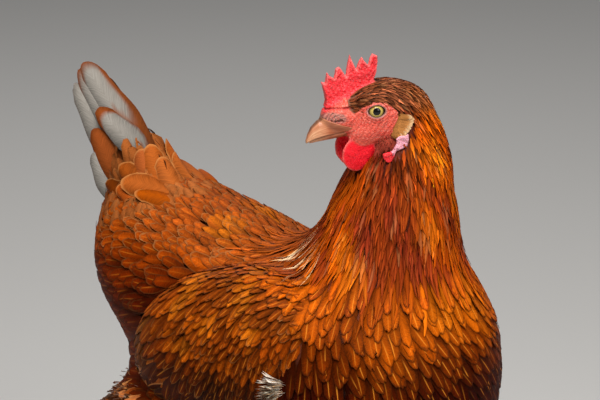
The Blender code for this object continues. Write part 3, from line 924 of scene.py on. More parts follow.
COMB_OUTLINE = tenths(
    (300, -40), (285, 50), (292, 95), (302, 130), (313, 172), (288, 165), (280, 237), (262, 210),
    (232, 189), (222, 252), (200, 262), (183, 240), (157, 195), (147, 270), (134, 336), (118, 290),
    (94, 238), (78, 290), (62, 321), (44, 290), (20, 262), (12, 305), (-6, 336), (-42, 315),
    (-42, 275), (-31, 215), (-7, 150), (60, 70), (140, -40), (220, -80),
) * (1, 0.97)  # forward and up from midway between the eyes
FACE_OUTLINE = tenths(
    (450, 120), (166, 120), (162, 4), (134, -22), (92, 22), (23, 58), (-35, 56), (-80, 36),
    (-128, -8), (-128, -50), (-100, -120), (-116, -195), (-92, -285), (0, -315), (80, -345),
    (450, -320),
)
LOBE_OUTLINE = tenths(
    (-107, -168), (-137, -150), (-160, -152), (-182, -143), (-186, -179), (-178, -219),
    (-151, -235), (-113, -247), (-88, -276), (-76, -265), (-94, -234), (-112, -197),
)
RED_LOBE_OUTLINE = tenths(
    (-27, -263), (-57, -252), (-103, -250), (-99, -278), (-84, -305), (-68, -317), (-46, -311),
    (-30, -289),
)
WATTLE_AT = (0.0096, -0.0278)  # forward and up, as its radii are
WATTLE_RADII = (0.0106, 0.0115)
WATTLE_LEAN = math.degrees(-0.16)
EYE_OPENING = (0.0051, 0.0037)  # half its length and half its height
LID_THICK = 0.0007
EYE_AXIS = unit(np.array((0.12, 1.0, 0.06)))


def outline_distance(flat, outline):
    """Distance of points in a plane to a closed outline, negative inside: the nearest of its edges,
    with the side from how often a line from the point crosses it."""
    nearest = np.full(flat.shape[:-1], np.inf)
    inside = np.zeros(flat.shape[:-1], bool)
    for start, end in zip(outline, np.roll(outline, -1, 0)):
        edge, away = end - start, flat - start
        share = np.clip(away @ edge / (edge @ edge), 0, 1)
        nearest = np.minimum(nearest, np.sum((away - share[..., None] * edge) ** 2, -1))
        crossing = (start[1] > flat[..., 1]) != (end[1] > flat[..., 1])
        at = start[0] + (flat[..., 1] - start[1]) * edge[0] / (edge[1] or 1e-12)
        inside ^= crossing & (flat[..., 0] < at)
    return np.where(inside, -1, 1) * np.sqrt(nearest)


def rounded_slab(out, side, rim):
    """Distance to a flap from those to its outline and to its faces, its rim rounded off."""
    out, side = out + rim, side + rim
    return np.hypot(np.maximum(out, 0), np.maximum(side, 0)) + np.minimum(np.maximum(out, side), 0) - rim


def eye_place(q):
    """Forward, up and outward of each point from the middle of the eye on its side."""
    local = folded(q, 1) - (0, EYE_OUT, 0)
    forward = unit(np.cross(EYE_AXIS, (0, 0, 1.0)))
    return local @ forward, local @ np.cross(forward, EYE_AXIS), local @ EYE_AXIS


def opening_share(q):
    """1 on the rim of the lids' almond opening, less inside it."""
    forward, up, _ = eye_place(q)
    drawn = EYE_OPENING[1] * (1 - 0.10 * np.abs(forward / EYE_OPENING[0]) ** 2)
    return np.sqrt((forward / EYE_OPENING[0]) ** 2 + (up / drawn) ** 2)


def comb_field(q):
    """The comb: its outline, thick at the base and thin at the points, with a rounded rim. It sways
    a little from side to side."""
    field = np.full(q.shape[:-1], 0.02)
    near = (q[..., 2] > -0.012) & (np.abs(q[..., 1]) < 0.009) & (q[..., 0] > -0.012) & (q[..., 0] < 0.04)
    p = q[near]
    sway = 0.0011 * np.sin(p[:, 0] * 260 + 0.6) * ramp(p[:, 2], 0.006, 0.030)
    half = 0.0031 - 0.0019 * np.clip(p[:, 2] / 0.030, 0, 1) + 0.00025 * ripple(p, 0.004, 11)
    half = half + 0.00022 * ripple(p, 0.0012, 17)
    out = outline_distance(p[:, [0, 2]], COMB_OUTLINE)
    field[near] = rounded_slab(out, np.abs(p[:, 1] - sway) - half, 0.0007)
    return field


def wattle_field(q):
    """Both wattles: thin discs with a full rim, gathered at the top and leaned about X."""
    centre = (WATTLE_AT[0], 0.0082, WATTLE_AT[1])
    radii = (WATTLE_RADII[0], 0.0021, WATTLE_RADII[1])
    return ellipsoid(folded(q, 1), centre, radii, WATTLE_LEAN) + 0.00018 * ripple(q, 0.003, 12)


def flap(q, outline, middle, half):
    """A flap of skin on each side of the head: an outline seen from the side and a thickness."""
    side = folded(q, 1)
    out = outline_distance(side[..., [0, 2]], outline)
    return rounded_slab(out, np.abs(side[..., 1] - middle) - half, 0.0006)


def white_lobe(q):
    """The pale part of each ear lobe: a thin crumpled flap whose lower end runs forward to a fold."""
    middle = 0.0187 + 0.10 * (q[..., 2] + 0.0180) + 0.0004 * ripple(q, 0.0034, 24)
    return flap(q, LOBE_OUTLINE, middle, 0.0010 + 0.00030 * ripple(q, 0.0019, 15))


def lobe_field(q):
    red = flap(q, RED_LOBE_OUTLINE, 0.0180, 0.0014 + 0.00035 * ripple(q, 0.0022, 23))
    return blended([white_lobe(q), red], 0.0008)


def bareness(q):
    """1 on the bare skin of the face, 0 where short feathers cover the head."""
    return ramp(outline_distance(q[..., [0, 2]], FACE_OUTLINE), 0.0007, -0.0005)


def comb_crease(q):
    """1 along the crease that parts the comb from the skin over the bill."""
    crease = np.exp(-(((q[..., 2] - 0.0010 - 0.10 * (0.022 - q[..., 0])) / 0.00060) ** 2))
    return crease * ramp(q[..., 0], 0.0135, 0.0160)


def face_folds(q):
    """Fine wrinkles round the eye and down the cheek."""
    forward, up, _ = eye_place(q)
    away = np.hypot(forward, up * 1.1)
    rings = np.sin(away * 3600 + 2.0 * ripple(q, 0.004, 13)) * ramp(away, 0.0125, 0.0070)
    down = np.sin(q[..., 0] * 1900 + q[..., 2] * 1300 + 3.0 * ripple(q, 0.004, 14))
    pebbles = ripple(q, 0.0013, 18) * ramp(q[..., 2], 0.0, 0.004)
    return 0.00024 * rings + 0.00018 * down * ramp(away, 0.0065, 0.0095) + 0.0003 * pebbles


def head_field(q):
    """The head without its feathers, in its own axes: bare face, brow, lids, comb, wattles and lobes."""
    bare = bareness(q)
    side = folded(q, 1)
    forward, up, out = eye_place(q)
    head = skull_field(q) + HEAD_SKIN_DEPTH * (1 - bare) - face_folds(q) * bare
    head = blended([head, ellipsoid(side, (0.0075, 0.0085, -0.0150), (0.0080, 0.0050, 0.0075))], 0.0035)
    lids = np.sqrt(forward**2 + up**2 + out**2) - EYE_RADIUS - LID_THICK
    head = blended([head, lids], 0.0022)
    head = carved(head, np.maximum((opening_share(q) - 1) * EYE_OPENING[1], -out), 0.0007)
    nostril = tapered(side, (0.0205, 0.0092, -0.0058), (0.0265, 0.0068, -0.0064), 0.0008, 0.0005)
    head = carved(head, nostril, 0.0006)
    head = blended([head, comb_field(q)], 0.0030) + 0.0010 * comb_crease(q)
    head = blended([head, wattle_field(q)], 0.0028)
    return blended([head, lobe_field(q)], 0.0014)


SKULL_RED = np.array((0.80, 0.115, 0.072))
COMB_RED = np.array((0.82, 0.022, 0.030))
WATTLE_RED = np.array((1.0, 0.009, 0.022))
LOBE_PINK = np.array((0.86, 0.42, 0.50))
UNDER_FEATHERS = np.array((0.16, 0.055, 0.022))


def head_colours(q):
    """Colour and finish of the head's skin: red face and comb, paler lids and wattle rims, whitish
    ear lobes, and brown where short feathers cover it, with painted shade in the face's wrinkles
    and along the crease under the comb."""
    x, z = q[..., 0], q[..., 2]
    bare = bareness(q)
    comb = ramp(comb_field(q), 0.0016, 0.0004)
    wattle = ramp(wattle_field(q), 0.0012, 0.0003)
    white = ramp(white_lobe(q), 0.0009, 0.0)
    below = ramp(z, -0.0165, -0.0255) * ramp(x, 0.006, 0.000)
    comb_rim = ramp(outline_distance(q[..., [0, 2]], COMB_OUTLINE), -0.0014, -0.0004) * ramp(z, 0.010, 0.018)
    nostril = np.hypot((x - 0.0250) / 0.0085, (z + 0.0045) / 0.0042)
    scaly = ramp(nostril, 1.05, 0.60) * (0.80 + 0.20 * ripple(q, 0.0012, 16))
    arcs = np.sin(np.hypot(x - 0.0200, z + 0.0090) * 4300 + ripple(q, 0.003, 25))
    disc = np.hypot((x - WATTLE_AT[0]) / WATTLE_RADII[0], (z - WATTLE_AT[1]) / WATTLE_RADII[1])
    front = ramp(eye_place(q)[2], 0.0, 0.002)
    lids = ramp(opening_share(q), 1.32, 1.14) * front
    colour = layered(
        UNDER_FEATHERS,
        (bare, SKULL_RED),
        (0.55 * bare * ramp(ripple(q, 0.0026, 21), 0.0, 0.8), SKULL_RED * (0.85, 0.45, 0.45)),
        (0.45 * bare * ramp(ripple(q, 0.0011, 22), 0.45, 0.9), (0.95, 0.36, 0.27)),
        (0.60 * bare * below, (0.52, 0.075, 0.042)),
        # Painted shade in the grooves of the wrinkles.
        (0.50 * bare * ramp(face_folds(q), 0.0002, -0.0003), SKULL_RED * (0.55, 0.25, 0.25)),
        (comb, COMB_RED),
        (0.22 * comb * ramp(ripple(q, 0.0010, 19), 0.1, 0.9), (0.90, 0.26, 0.26)),
        (0.3 * comb * ramp(ripple(q, 0.0012, 20), 0.2, 0.9), COMB_RED * (0.55, 0.4, 0.5)),
        (0.30 * comb * comb_rim, (0.95, 0.34, 0.30)),
        # Painted shade along the crease under the comb.
        (0.75 * comb_crease(q), (0.42, 0.012, 0.014)),
        (wattle, WATTLE_RED),
        (0.9 * scaly, (0.36, 0.185, 0.140)),
        (0.9 * scaly * ramp(arcs, 0.1, 0.8), (0.095, 0.040, 0.032)),
        (0.5 * wattle * ramp(disc, 0.86, 1.0), (0.85, 0.25, 0.20)),
        (ramp(lobe_field(q), 0.0008, 0.0), COMB_RED),
        (0.9 * white, LOBE_PINK),
        (0.75 * lids, (0.42, 0.25, 0.22)),
        (0.8 * ramp(opening_share(q), 1.10, 1.02) * front, (0.06, 0.035, 0.03)),
    )
    finish = np.maximum(np.maximum(bare, comb), np.maximum(wattle, white))
    pale = 0.5 * finish * (1 - lids) * (1 - 0.3 * comb) * (1 - 0.8 * wattle)
    return colour, finish, pale


# ---------------------------------------------------------------- feet

SHANK_YELLOW = np.array((0.60, 0.40, 0.14))


def toe_paths():
    """Each toe's side, name, heading, length and rise at its root, as in the solids."""
    for sign in (1, -1):
        yield sign, "inner", math.radians(-33 * sign), 0.046, 0.004
        yield sign, "middle", math.radians(2 * sign), 0.060, 0.005
        yield sign, "outer", math.radians(37 * sign + 1), 0.050, 0.004
        yield sign, "hind", math.pi - math.radians(28 * sign), 0.024, 0.005


def toe_curve(sign, heading, length, rise, count=40):
    """Middle line and radii of one toe: it comes down from the ankle and thins to the claw, with a
    pad under each joint."""
    share = np.linspace(0, 1, count)
    joints = round(length / 0.02)
    radii = TOE_RADIUS * (1 - 0.36 * share) * (1 + 0.12 * np.cos(share * joints * 2 * math.pi))
    height = np.maximum(radii, 0.62 * TOE_RADIUS) - SOLE_DIP + rise * np.clip(1 - share / 0.35, 0, 1) ** 2
    along = share * length
    start = (sign * FOOT_SPACING / 2, FOOT_Y)
    x, y = start[0] + along * math.sin(heading), start[1] - along * math.cos(heading)
    return np.stack([x, y, height], -1), radii


def shank_curve(count=50):
    """Middle line and radii of her left shank, from the ankle up into the thigh's feathers."""
    share = np.linspace(0, 1.1, count)
    ankle = np.array((FOOT_SPACING / 2, FOOT_Y, 0.0100))
    line = ankle + share[:, None] * (np.array(SHANK_TOP) - ankle)
    line[:, 1] += 0.004 * np.sin(math.pi * np.minimum(share, 1))
    radii = SHANK_RADIUS * (1 + 0.30 * np.clip(1 - share, 0, 1) ** 4 + 0.12 * share**2)
    return line, radii


def near_line(points, line, radii):
    """Near distance to a tube of varying radius round a line: the least of those to its stretches."""
    best = np.full(points.shape[:-1], np.inf)
    for start, end, first, last in zip(line[:-1], line[1:], radii[:-1], radii[1:]):
        best = np.minimum(best, tapered(points, start, end, first, last))
    return best


def foot_field(p):
    """Her left foot and shank as one skin, flat where it stands."""
    curves = [toe_curve(sign, *bend, 14) for sign, _, *bend in toe_paths() if sign > 0]
    tubes = [near_line(p, line, radii) for line, radii in curves]
    ball = ellipsoid(p, (FOOT_SPACING / 2, FOOT_Y - 0.001, 0.0090), (0.0100, 0.0110, 0.0098))
    foot = blended([*tubes, ball, near_line(p, *shank_curve(12))], 0.003)
    return np.maximum(foot, -p[..., 2])


def build_skin(material):
    """One skin over trunk, neck, wings, thighs, head and feet, a coat's depth inside the feathers."""

    def under(p):
        fuller = 0.0018 * ramp(p[..., 1], 0.03, -0.01) * ramp(p[..., 2], 0.20, 0.26)
        return coat_field(p) + SKIN_DEPTH - fuller

    trunk = surface_of(under, (-0.11, -0.155, 0.085), (0.11, 0.185, 0.405), TRUNK_STEP)
    head = surface_of(head_field, (-0.040, -0.024, -0.048), (0.036, 0.024, 0.037), HEAD_STEP)
    foot = surface_of(foot_field, (0.005, -0.060, -0.001), (0.095, 0.060, 0.110), FOOT_STEP)
    other_foot = foot[0] * (-1, 1, 1), [f[:, ::-1] for f in foot[1]]
    points, faces = joined([trunk, (from_head(head[0]), head[1]), foot, other_foot])
    kept = ("eye_", "claw_", "bill_", "tail_feathers")
    flesh = [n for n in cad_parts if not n.startswith(kept)]
    piece = make_piece("skin", points, faces, material, flesh)
    trunk_colour = toned(tone(trunk[0]) * 0.65, bareness(to_head(trunk[0])), (0.50, 0.075, 0.042))
    head_colour, bare, pale = head_colours(head[0])
    feet = 2 * len(foot[0])
    tint = np.concatenate([trunk_colour, head_colour, np.broadcast_to(SHANK_YELLOW, (feet, 3))])
    bare = np.concatenate([np.zeros(len(trunk[0])), bare, np.full(feet, 0.6)])
    pale = np.concatenate([np.zeros(len(trunk[0])), pale, np.zeros(feet)])
    add_colours(piece, "tint", tint)
    add_colours(piece, "marks", np.stack([bare, pale, 0 * bare], 1))


# ---------------------------------------------------------------- coat of head, neck and trunk

HEAD_PATH = from_head(
    tenths(
        (190, 0, -10), (100, 0, -10), (-20, 0, -30), (-120, 0, -80), (-200, 0, -180), (-240, 0, -360)
    )
)
BODY_PATH = tenths(
    (30, -770, 3720), (10, -730, 3300), (0, -680, 2900), (0, -580, 2520), (0, -300, 2260),
    (0, 100, 2180), (0, 500, 2260), (0, 900, 2460), (0, 1250, 2680),
)
HEAD_SHARE = 0.12  # of the unwrap's height that the head's feathers take


def grown(field, roots, ways, lengths, widths, stations, outline, columns, depth, lift, camber=0.12,
          thick=0.0003, spread=7.0, round_off=0.22, ragged=0.05):
    """Feathers from their roots, lengths and widths, each turned, bent, raised and frayed a little by
    chance. outline gives the widest place, tip and root of rounded(). Returns the points of their
    vanes."""
    count = len(roots)
    normals = slope(field, roots)
    ways = unit(ways - normals * np.sum(ways * normals, -1, keepdims=True))
    ways = turned_about(ways, normals, np.radians(chance.normal(0, spread, count)))
    lengths = lengths * chance.uniform(0.88, 1.12, count)
    widths = widths * chance.uniform(0.90, 1.10, count)
    lift = lift * chance.uniform(0.2, 1.8, count)
    bends = chance.normal(0, 0.03, count)
    middles, ways, normals = draped(field, roots, ways, lengths, stations, depth, lift, bends)
    roll = np.radians(chance.normal(0, 5, count))[:, None, None]
    normals = unit(normals + np.cross(ways, normals) * np.tan(roll))
    return vanes(
        middles, ways, normals, lengths, widths, rounded(stations, *outline), columns, camber, thick,
        (round_off, ragged, 2.2),
    )


def body_gap(p):
    """Distance from feather to feather across their lie: close at the head, wide on the breast."""
    x, y, z = np.abs(p[:, 0]), p[:, 1], p[:, 2]
    saddle = ramp(z, 0.245, 0.270) * ramp(y, -0.03, 0.0)
    gap = 0.0055 - 0.0030 * ramp(y, 0.010, -0.025) * ramp(z, 0.289, 0.317)
    gap -= 0.0006 * ramp(z, 0.345, 0.375)
    gap -= 0.0004 * ramp(z, 0.390, 0.402)
    gap -= 0.0014 * saddle * ramp(x, 0.070, 0.04)
    gap -= 0.0004 * ramp(y, 0.03, 0.07) * (1 - saddle)
    return gap


def body_places():
    """Roots of all the feathers but those of wings, tail and thighs, with the way each one lies. Where
    the path bends behind the neck its rays cross, and the places that would lie forwards are left out."""
    head = tract(no_wing_field, HEAD_PATH, 80, 150, 0.06, tilt=(80, 0))
    trunk = list(tract(no_wing_field, BODY_PATH, 380, 250, 0.13, tilt=(0, 80)))
    throat = (head[0] - NECK_AT) @ HEADING_WAY
    head = picked(head, (throat < 0.012) | (head[0][:, 2] > 0.378))
    head[2] = head[2] * HEAD_SHARE
    trunk[2] = HEAD_SHARE + trunk[2] * (1 - HEAD_SHARE)
    places, ways, share, angle = (np.concatenate(pair) for pair in zip(head, trunk))
    normals = slope(no_wing_field, places)
    rearward = np.array((0, 1.0, -0.32))
    rearward = unit(rearward - normals * (normals @ rearward)[:, None])
    turn = 0.85 * ramp(places[:, 1], 0.0, 0.05) * ramp(normals[:, 2], 0.92, 0.45)
    turn = turn * ramp(normals[:, 1], 0.85, 0.55)
    ways = unit(ways + turn[:, None] * (rearward - ways))
    breast = ramp(places[:, 1], 0.0, -0.03) * ramp(places[:, 2], 0.300, 0.275)
    ways = turned_about(ways, normals, math.radians(30) * breast)
    q = to_head(places)
    forwards = (ways[:, 1] < 0.05) & (normals[:, 2] > 0.2) & (places[:, 1] > -0.045) & (places[:, 2] < 0.33)
    clear = (bareness(q) < 0.4) | (skull_field(q) > 0.0060)
    clear &= (np.abs(no_wing_field(places)) < 0.001) & ~forwards & (wing_field(places) > -0.003)
    clear &= (comb_field(q) > 0.0006) & (lobe_field(q) > 0.0012) & (wattle_field(q) > 0.0010)
    ear = np.hypot((q[:, 0] + 0.0150) / 0.0085, (q[:, 2] + 0.0085) / 0.0065)
    clear &= (ear > 1) | (np.abs(q[:, 1]) < 0.006)
    places, ways, share, angle = picked((places, ways, share, angle), clear)
    gaps = body_gap(places)
    stretch = 1.50 + 0.10 * ramp(places[:, 1], 0.0, 0.03) + 0.35 * ramp(gaps, 0.0043, 0.0030)
    kept = thinned(places, ways, gaps * chance.uniform(0.92, 1.08, len(gaps)), stretch)
    return picked((places, ways, share, angle, gaps), kept)


def build_body_coat(material, hackle):
    """Feathers over head, neck, breast, back, flanks and rump: short scales on the breast and
    saddle, narrow streaks down the neck and tiny ones on the head."""
    places, ways, share, angle, gaps = body_places()
    roots_map = unwrapped(angle / (2 * math.pi) + 0.5, share, 0.01)
    on_head = share < HEAD_SHARE
    neck = ~on_head & (gaps < 0.0042) & (places[:, 1] < -0.002)
    regions = {
        "coat_head": on_head,
        "coat_neck_front": neck & (angle > 0),
        "coat_neck_back": neck & (angle <= 0),
        "coat_breast": ~on_head & ~neck & (places[:, 1] < 0.0),
        "coat_rump": ~on_head & ~neck & (places[:, 1] >= 0.0),
    }
    for name, chosen in regions.items():
        at, way, gap = picked((places, ways, gaps), chosen)
        count = len(at)
        on_breast, on_rump, on_neck = (part in name for part in ("breast", "rump", "neck"))
        field = coat_field if on_breast else no_wing_field
        if on_breast or on_rump:
            finish, stations, brightness = material, COVERT_STATIONS, 0.15
            lengths, widths = gap * 5.0, gap * (1.45 + 0.30 * on_rump)
            shape = (0.50, 0.80), 7, 0.0021, 0.0001, 0.07
            ends = {"ragged": 0.022, "round_off": 0.15}
        else:
            finish, stations, brightness = hackle, STREAK_STATIONS, 0.28 + 0.24 * (not on_neck)
            lengths, widths = 0.0065 + 13.0 * np.maximum(gap - 0.0015, 0), gap * 1.40
            shape = (0.45, 0.38), 5, 0.34 * gap, 0.04 * gap, 0.14
            ends = {}
        points = grown(field, at, way, lengths, widths, stations, *shape, **ends)
        tint = varied(tone(at + way * lengths[:, None] * 0.6), brightness)
        if finish == hackle:
            pale = (chance.random(count) < 0.08) * 0.14 * (gap < 0.0028)
            tint = toned(tint, pale, (0.66, 0.34, 0.13))
        saddle = ramp(at[:, 2], 0.265, 0.285)
        marks = marked(
            count,
            streak=chance.uniform(0.1, 0.9, count) * (1.0 if on_breast else 0.35),
            fringe=chance.uniform(0.0, 0.08 + 0.35 * saddle) * on_rump,
            edge=chance.uniform(0.4, 1.0, count) * (0.4 if on_neck else 1.0),
        )
        make_coat(name, points, stations, tint, marks, roots_map[chosen], finish)


# ---------------------------------------------------------------- wings


def wing_line(*at):
    """Places on the line through her left wing, at those distances from its middle."""
    return np.array(WING_AT) + turned(WING_PITCH)[:, 1] * np.array(at)[:, None]


def wing_places(along, around):
    """Places over her left wing, with the way each feather lies: turned down from the wing's length,
    most at the shoulder."""
    knots = wing_line(-0.074, -0.04, 0, 0.04, 0.074)
    places, ways, share, angle = tract(wing_field, knots, along, around, 0.10, tilt=(70, 70))
    ways = turned_about(ways, slope(wing_field, places), np.radians(-48 + 38 * ramp(share, 0.25, 0.95)))
    return places, ways, share, angle


def wing_tone(p, share):
    z = p[..., 2]
    colour = layered(
        np.broadcast_to(UMBER, p.shape),
        (0.50 + 0.45 * ripple(p, 0.014, 3), RUST),
        (0.6 * ramp(ripple(p, 0.010, 4), 0.20, 0.75), ORANGE),
        (0.35 * ramp(ripple(p, 0.016, 5), 0.25, 0.8) * ramp(z, 0.235, 0.265), GOLD),
        (0.55 * ramp(share, 0.68, 0.85), (0.34, 0.125, 0.018)),
        (0.30 * ramp(z, 0.268, 0.284), UMBER),
    )
    # Painted shade: the wing darker towards its lower edge.
    return shaded(colour, (ramp(z, 0.278, 0.216), (0.155, 0.10, 0.155)))


def build_wing_coat(material, side):
    """Her small coverts over the shoulder, growing longer to the rear."""
    mirror = (SIDES[side], 1, 1)
    rows = wing_places(120, 170)
    rows = picked(rows, (body_field(rows[0]) > -0.002) & (rows[2] < 0.84) & (rows[0][:, 0] > 0.03))
    gaps = 0.0036 + 0.0034 * ramp(rows[2], 0.35, 0.85)
    kept = thinned(*rows[:2], gaps * chance.uniform(0.92, 1.08, len(gaps)), 1.7)
    places, ways, share, angle, gaps = picked((*rows, gaps), kept)
    count = len(places)
    points = grown(
        wing_field, places * mirror, ways * mirror, gaps * 4.3, gaps * 1.5, COVERT_STATIONS,
        (0.45, 0.72), 7, 0.0019, 0.0003, ragged=0.03, round_off=0.18,
    )
    tint = varied(wing_tone(places, share), 0.18)
    marks = marked(
        count,
        streak=chance.uniform(0.1, 0.7, count),
        fringe=chance.uniform(0.0, 1.0, count) ** 3 * 0.25,
        edge=chance.uniform(0.2, 0.9, count),
    )
    roots_map = side_map(SIDES[side], angle, share)
    make_coat(f"coat_wing_{side}", points, COVERT_STATIONS, tint, marks, roots_map, material)


def build_flight_feathers(material, side, count=11):
    """Secondaries under the coverts, long smooth vanes that meet at the wing's tip."""
    mirror = (SIDES[side], 1, 1)
    turn = np.radians(-62 + 105 * np.linspace(0, 1, count))
    start, tip = wing_line(0.004, 0.079)
    across = np.array((1.0, 0, 0))
    third = np.cross(turned(WING_PITCH)[:, 1], across)
    rays = np.cos(turn)[:, None] * across - np.sin(turn)[:, None] * third
    roots = cast(wing_field, np.broadcast_to(start, rays.shape), rays, 0.10)
    lengths = np.linalg.norm(tip - roots, axis=1) * 0.93
    points = grown(
        wing_field, roots * mirror, unit(tip - roots) * mirror, lengths, np.full(count, 0.017),
        FLIGHT_STATIONS, (0.35, 0.60, 0.5), 9, 0.0030, -0.0004, 0.10, 0.0005, 1.0, 0.10, 0.004,
    )
    tint = varied(np.broadcast_to(0.50 * RUST + 0.22 * GOLD, (count, 3)), 0.12)
    marks = marked(count, streak=0.4, fringe=0.8, edge=0.3)
    roots_map = side_map(SIDES[side], turn, 0.5)
    make_coat(f"flight_feathers_{side}", points, FLIGHT_STATIONS, tint, marks, roots_map, material)


# ---------------------------------------------------------------- thighs


def build_thigh_coat(material, side):
    """Loose feathers down each drumstick, and the fluff behind it."""
    mirror = (SIDES[side], 1, 1)
    knots = tenths((500, 40, 1650), (490, 220, 1400), (480, 400, 1120), (470, 460, 1030))
    rows = tract(thigh_field, knots, 60, 90, 0.09, tilt=(0, 25))
    rows = picked(rows, (trunk_field(rows[0]) > -0.004) & (wing_field(rows[0]) > -0.003))
    gaps = 0.0072 - 0.0030 * rows[2]
    places, ways, share, angle, gaps = picked((*rows, gaps), thinned(*rows[:2], gaps, 1.4))
    count = len(places)
    points = grown(
        body_field, places * mirror, ways * mirror, gaps * 3.9, gaps * 1.4, COVERT_STATIONS,
        (0.5, 0.7), 7, 0.0030, 0.0009, camber=0.14, ragged=0.07,
    )
    tint = varied(toned(np.broadcast_to(RUST, places.shape), 0.4 * chance.random(count), BUFF), 0.15)
    streak, fringe = chance.uniform(0.0, 0.5, count), chance.uniform(0.0, 0.8, count)
    roots_map = side_map(SIDES[side], angle, share)
    marks = marked(count, streak, fringe)
    make_coat(f"coat_thigh_{side}", points, COVERT_STATIONS, tint, marks, roots_map, material)


# ---------------------------------------------------------------- tail

TAIL = np.array(
    [
        (0.1115, 0.3157, 42, 0.0925, 0.0245, 0.0026, 0.50, 0.99, 0.55),
        (0.1230, 0.3110, 46, 0.0860, 0.0220, 0.0018, 0.45, 0.97, 0.70),
        (0.1380, 0.3044, 51, 0.0750, 0.0205, 0.0010, 0.38, 1.20, 1.30),
        (0.1400, 0.3020, 52, 0.0430, 0.0190, 0.0032, 0.90, 0.90, 0.00),
        (0.1440, 0.2925, 53, 0.0350, 0.0180, 0.0026, 0.10, 1.20, 1.30),
        (0.1180, 0.3240, 28, 0.0530, 0.0200, 0.0048, 0.26, 0.92, 0.85),
    ]
)  # of each: foot rear and up, rise, length, width, layer, and where its cream begins, ends and how
# far across its front web the cream runs
TAIL_CREAM = np.array((0.33, 0.30, 0.26))
TAIL_BROWN = np.array((0.28, 0.070, 0.016))
TAIL_RISE = math.radians(45)
TAIL_SPREAD = math.radians(15)
TAIL_TOP = np.array((0.0992, 0.3241))  # rear and up, of the top edge where it leaves the coverts
TAIL_ROOT = 0.012  # of each feather's length that the coverts hide


def tail_plane(flat, sign, out):
    """From rear and up in her middle plane to one half of the tail, which leans out below its top
    edge, and out from that half's face."""
    aside = sign * np.array((1.0, 0, 0))
    edge = np.array((0, math.cos(TAIL_RISE), math.sin(TAIL_RISE)))
    below = np.array((0, math.sin(TAIL_RISE), -math.cos(TAIL_RISE)))
    leaned = math.cos(TAIL_SPREAD) * below + math.sin(TAIL_SPREAD) * aside
    normal = math.cos(TAIL_SPREAD) * aside - math.sin(TAIL_SPREAD) * below
    along, across = (((flat - TAIL_TOP) @ way[1:])[..., None] for way in (edge, below))
    return np.array((0, *TAIL_TOP)) + along * edge + across * leaned + np.asarray(out)[..., None] * normal


def build_tail(material, side):
    """The long feathers of one half of the tail, cream with brown margins and bases, with a brown
    one and two short cream ones over them. The left half lies a little lower and is shorter."""
    sign = SIDES[side]
    lengths, widths, layer, begin, end, web = TAIL[:, 3:].T
    rise = np.radians(TAIL[:, 2])
    feet = TAIL[:, :2] - (0, 0.0070 * (sign > 0))
    lengths = lengths * (0.90 if sign > 0 else 1) + TAIL_ROOT
    count, columns = len(TAIL), 11
    along = np.stack([np.cos(rise), np.sin(rise)], -1)
    sideways = np.stack([-along[:, 1], along[:, 0]], -1)[:, None]
    s = np.array(FLIGHT_STATIONS)
    flat = (feet - along * TAIL_ROOT)[:, None] + (s * lengths[:, None])[..., None] * along[:, None]
    flat = flat - 0.0016 * np.sin(math.pi * s)[None, :, None] * sideways
    middles = tail_plane(flat, sign, np.broadcast_to(layer[:, None], flat.shape[:2]))
    ways = unit(np.gradient(middles, axis=1))
    normal = tail_plane(TAIL_TOP, sign, 1.0) - tail_plane(TAIL_TOP, sign, 0.0)
    normals = unit(normal + math.tan(math.radians(4)) * np.cross(ways, normal) * -sign)
    outline = rounded(FLIGHT_STATIONS, 0.60, 0.74, 0.35)
    points = vanes(
        middles, ways, normals, lengths, widths, outline, columns, 0.10, 0.0006, (0.13, 0.004, 2.4)
    )
    pattern = pattern_places(FLIGHT_STATIONS, columns)
    front, up = -pattern[:, 0] * sign, pattern[:, 1]
    begin, end, web = begin[:, None], end[:, None], web[:, None]
    mottled = 0.04 * chance.normal(0, 1, (count, len(pattern)))
    pale = ramp(up + mottled, begin, begin + 0.12) * ramp(up, end + 0.01, end - 0.05)
    pale = pale * ramp(front + mottled, web + 0.22, web)
    brown = toned(np.broadcast_to(TAIL_BROWN, (count, 3)), 0.2 * chance.random(count), RUST)
    tint = toned(np.repeat(brown[:, None], len(pattern), 1), pale, TAIL_CREAM)
    tint = tint * (1 - 0.45 * ramp(up, 0.45, 0.10))[None, :, None]
    rank = np.arange(count) / count
    roots_map = np.stack([0.4 + 0.2 * (sign < 0) + 0.05 * rank, 0.3 + 0.4 * rank], -1)
    make_coat(
        f"tail_feathers_coat_{side}", points, FLIGHT_STATIONS, tint, marked(count, edge=0.35), roots_map,
        material, [f"tail_feathers_{side}"],
    )


TAIL_BASE = ((0, 0.1275, 0.305), (0.018, 0.040, 0.0215), 60)
BROAD = tenths(
    (190, 1010, 3120, 140, 1120, 3450, 215, 40), (120, 900, 3170, 100, 1043, 3364, 180, 36),
    (240, 1120, 3120, 190, 1198, 3373, 180, 33), (270, 1155, 3137, 270, 1353, 3222, 190, 40),
    (260, 1311, 3014, 260, 1484, 3080, 150, 34), (150, 900, 3105, 265, 1262, 3100, 230, 62),
    (200, 835, 3067, 290, 1114, 3032, 160, 46), (300, 1105, 3050, 300, 1311, 3086, 150, 40),
)  # of each: root and tip on her left, width and height of the tip
BROAD_TINTS = np.array(
    [
        0.55 * ORANGE + 0.10 * BUFF, 0.55 * ORANGE + 0.14 * BUFF, 0.80 * RUST + 0.15 * BUFF,
        0.45 * ORANGE + 0.05 * BUFF, UMBER, 0.50 * ORANGE + 0.10 * BUFF, 0.55 * ORANGE, DULL,
    ]
)


def laid(field, roots, tips, stations, lift):
    """Middle lines of feathers laid straight from root to tip, then out from the field's surface,
    from under it at the root to lift over it at the tip."""
    s = np.array(stations)[None, :, None]
    line = roots[:, None] + s * (tips - roots)[:, None]
    height = -0.003 + (lift[:, None] + 0.003) * s[..., 0] ** 0.7
    for _ in range(3):
        normals = slope(field, line)
        line = line - normals * (field(line) - height)[..., None]
    ways = unit(np.gradient(line, axis=1))
    normals = unit(normals - ways * np.sum(normals * ways, -1, keepdims=True))
    return line, ways, normals


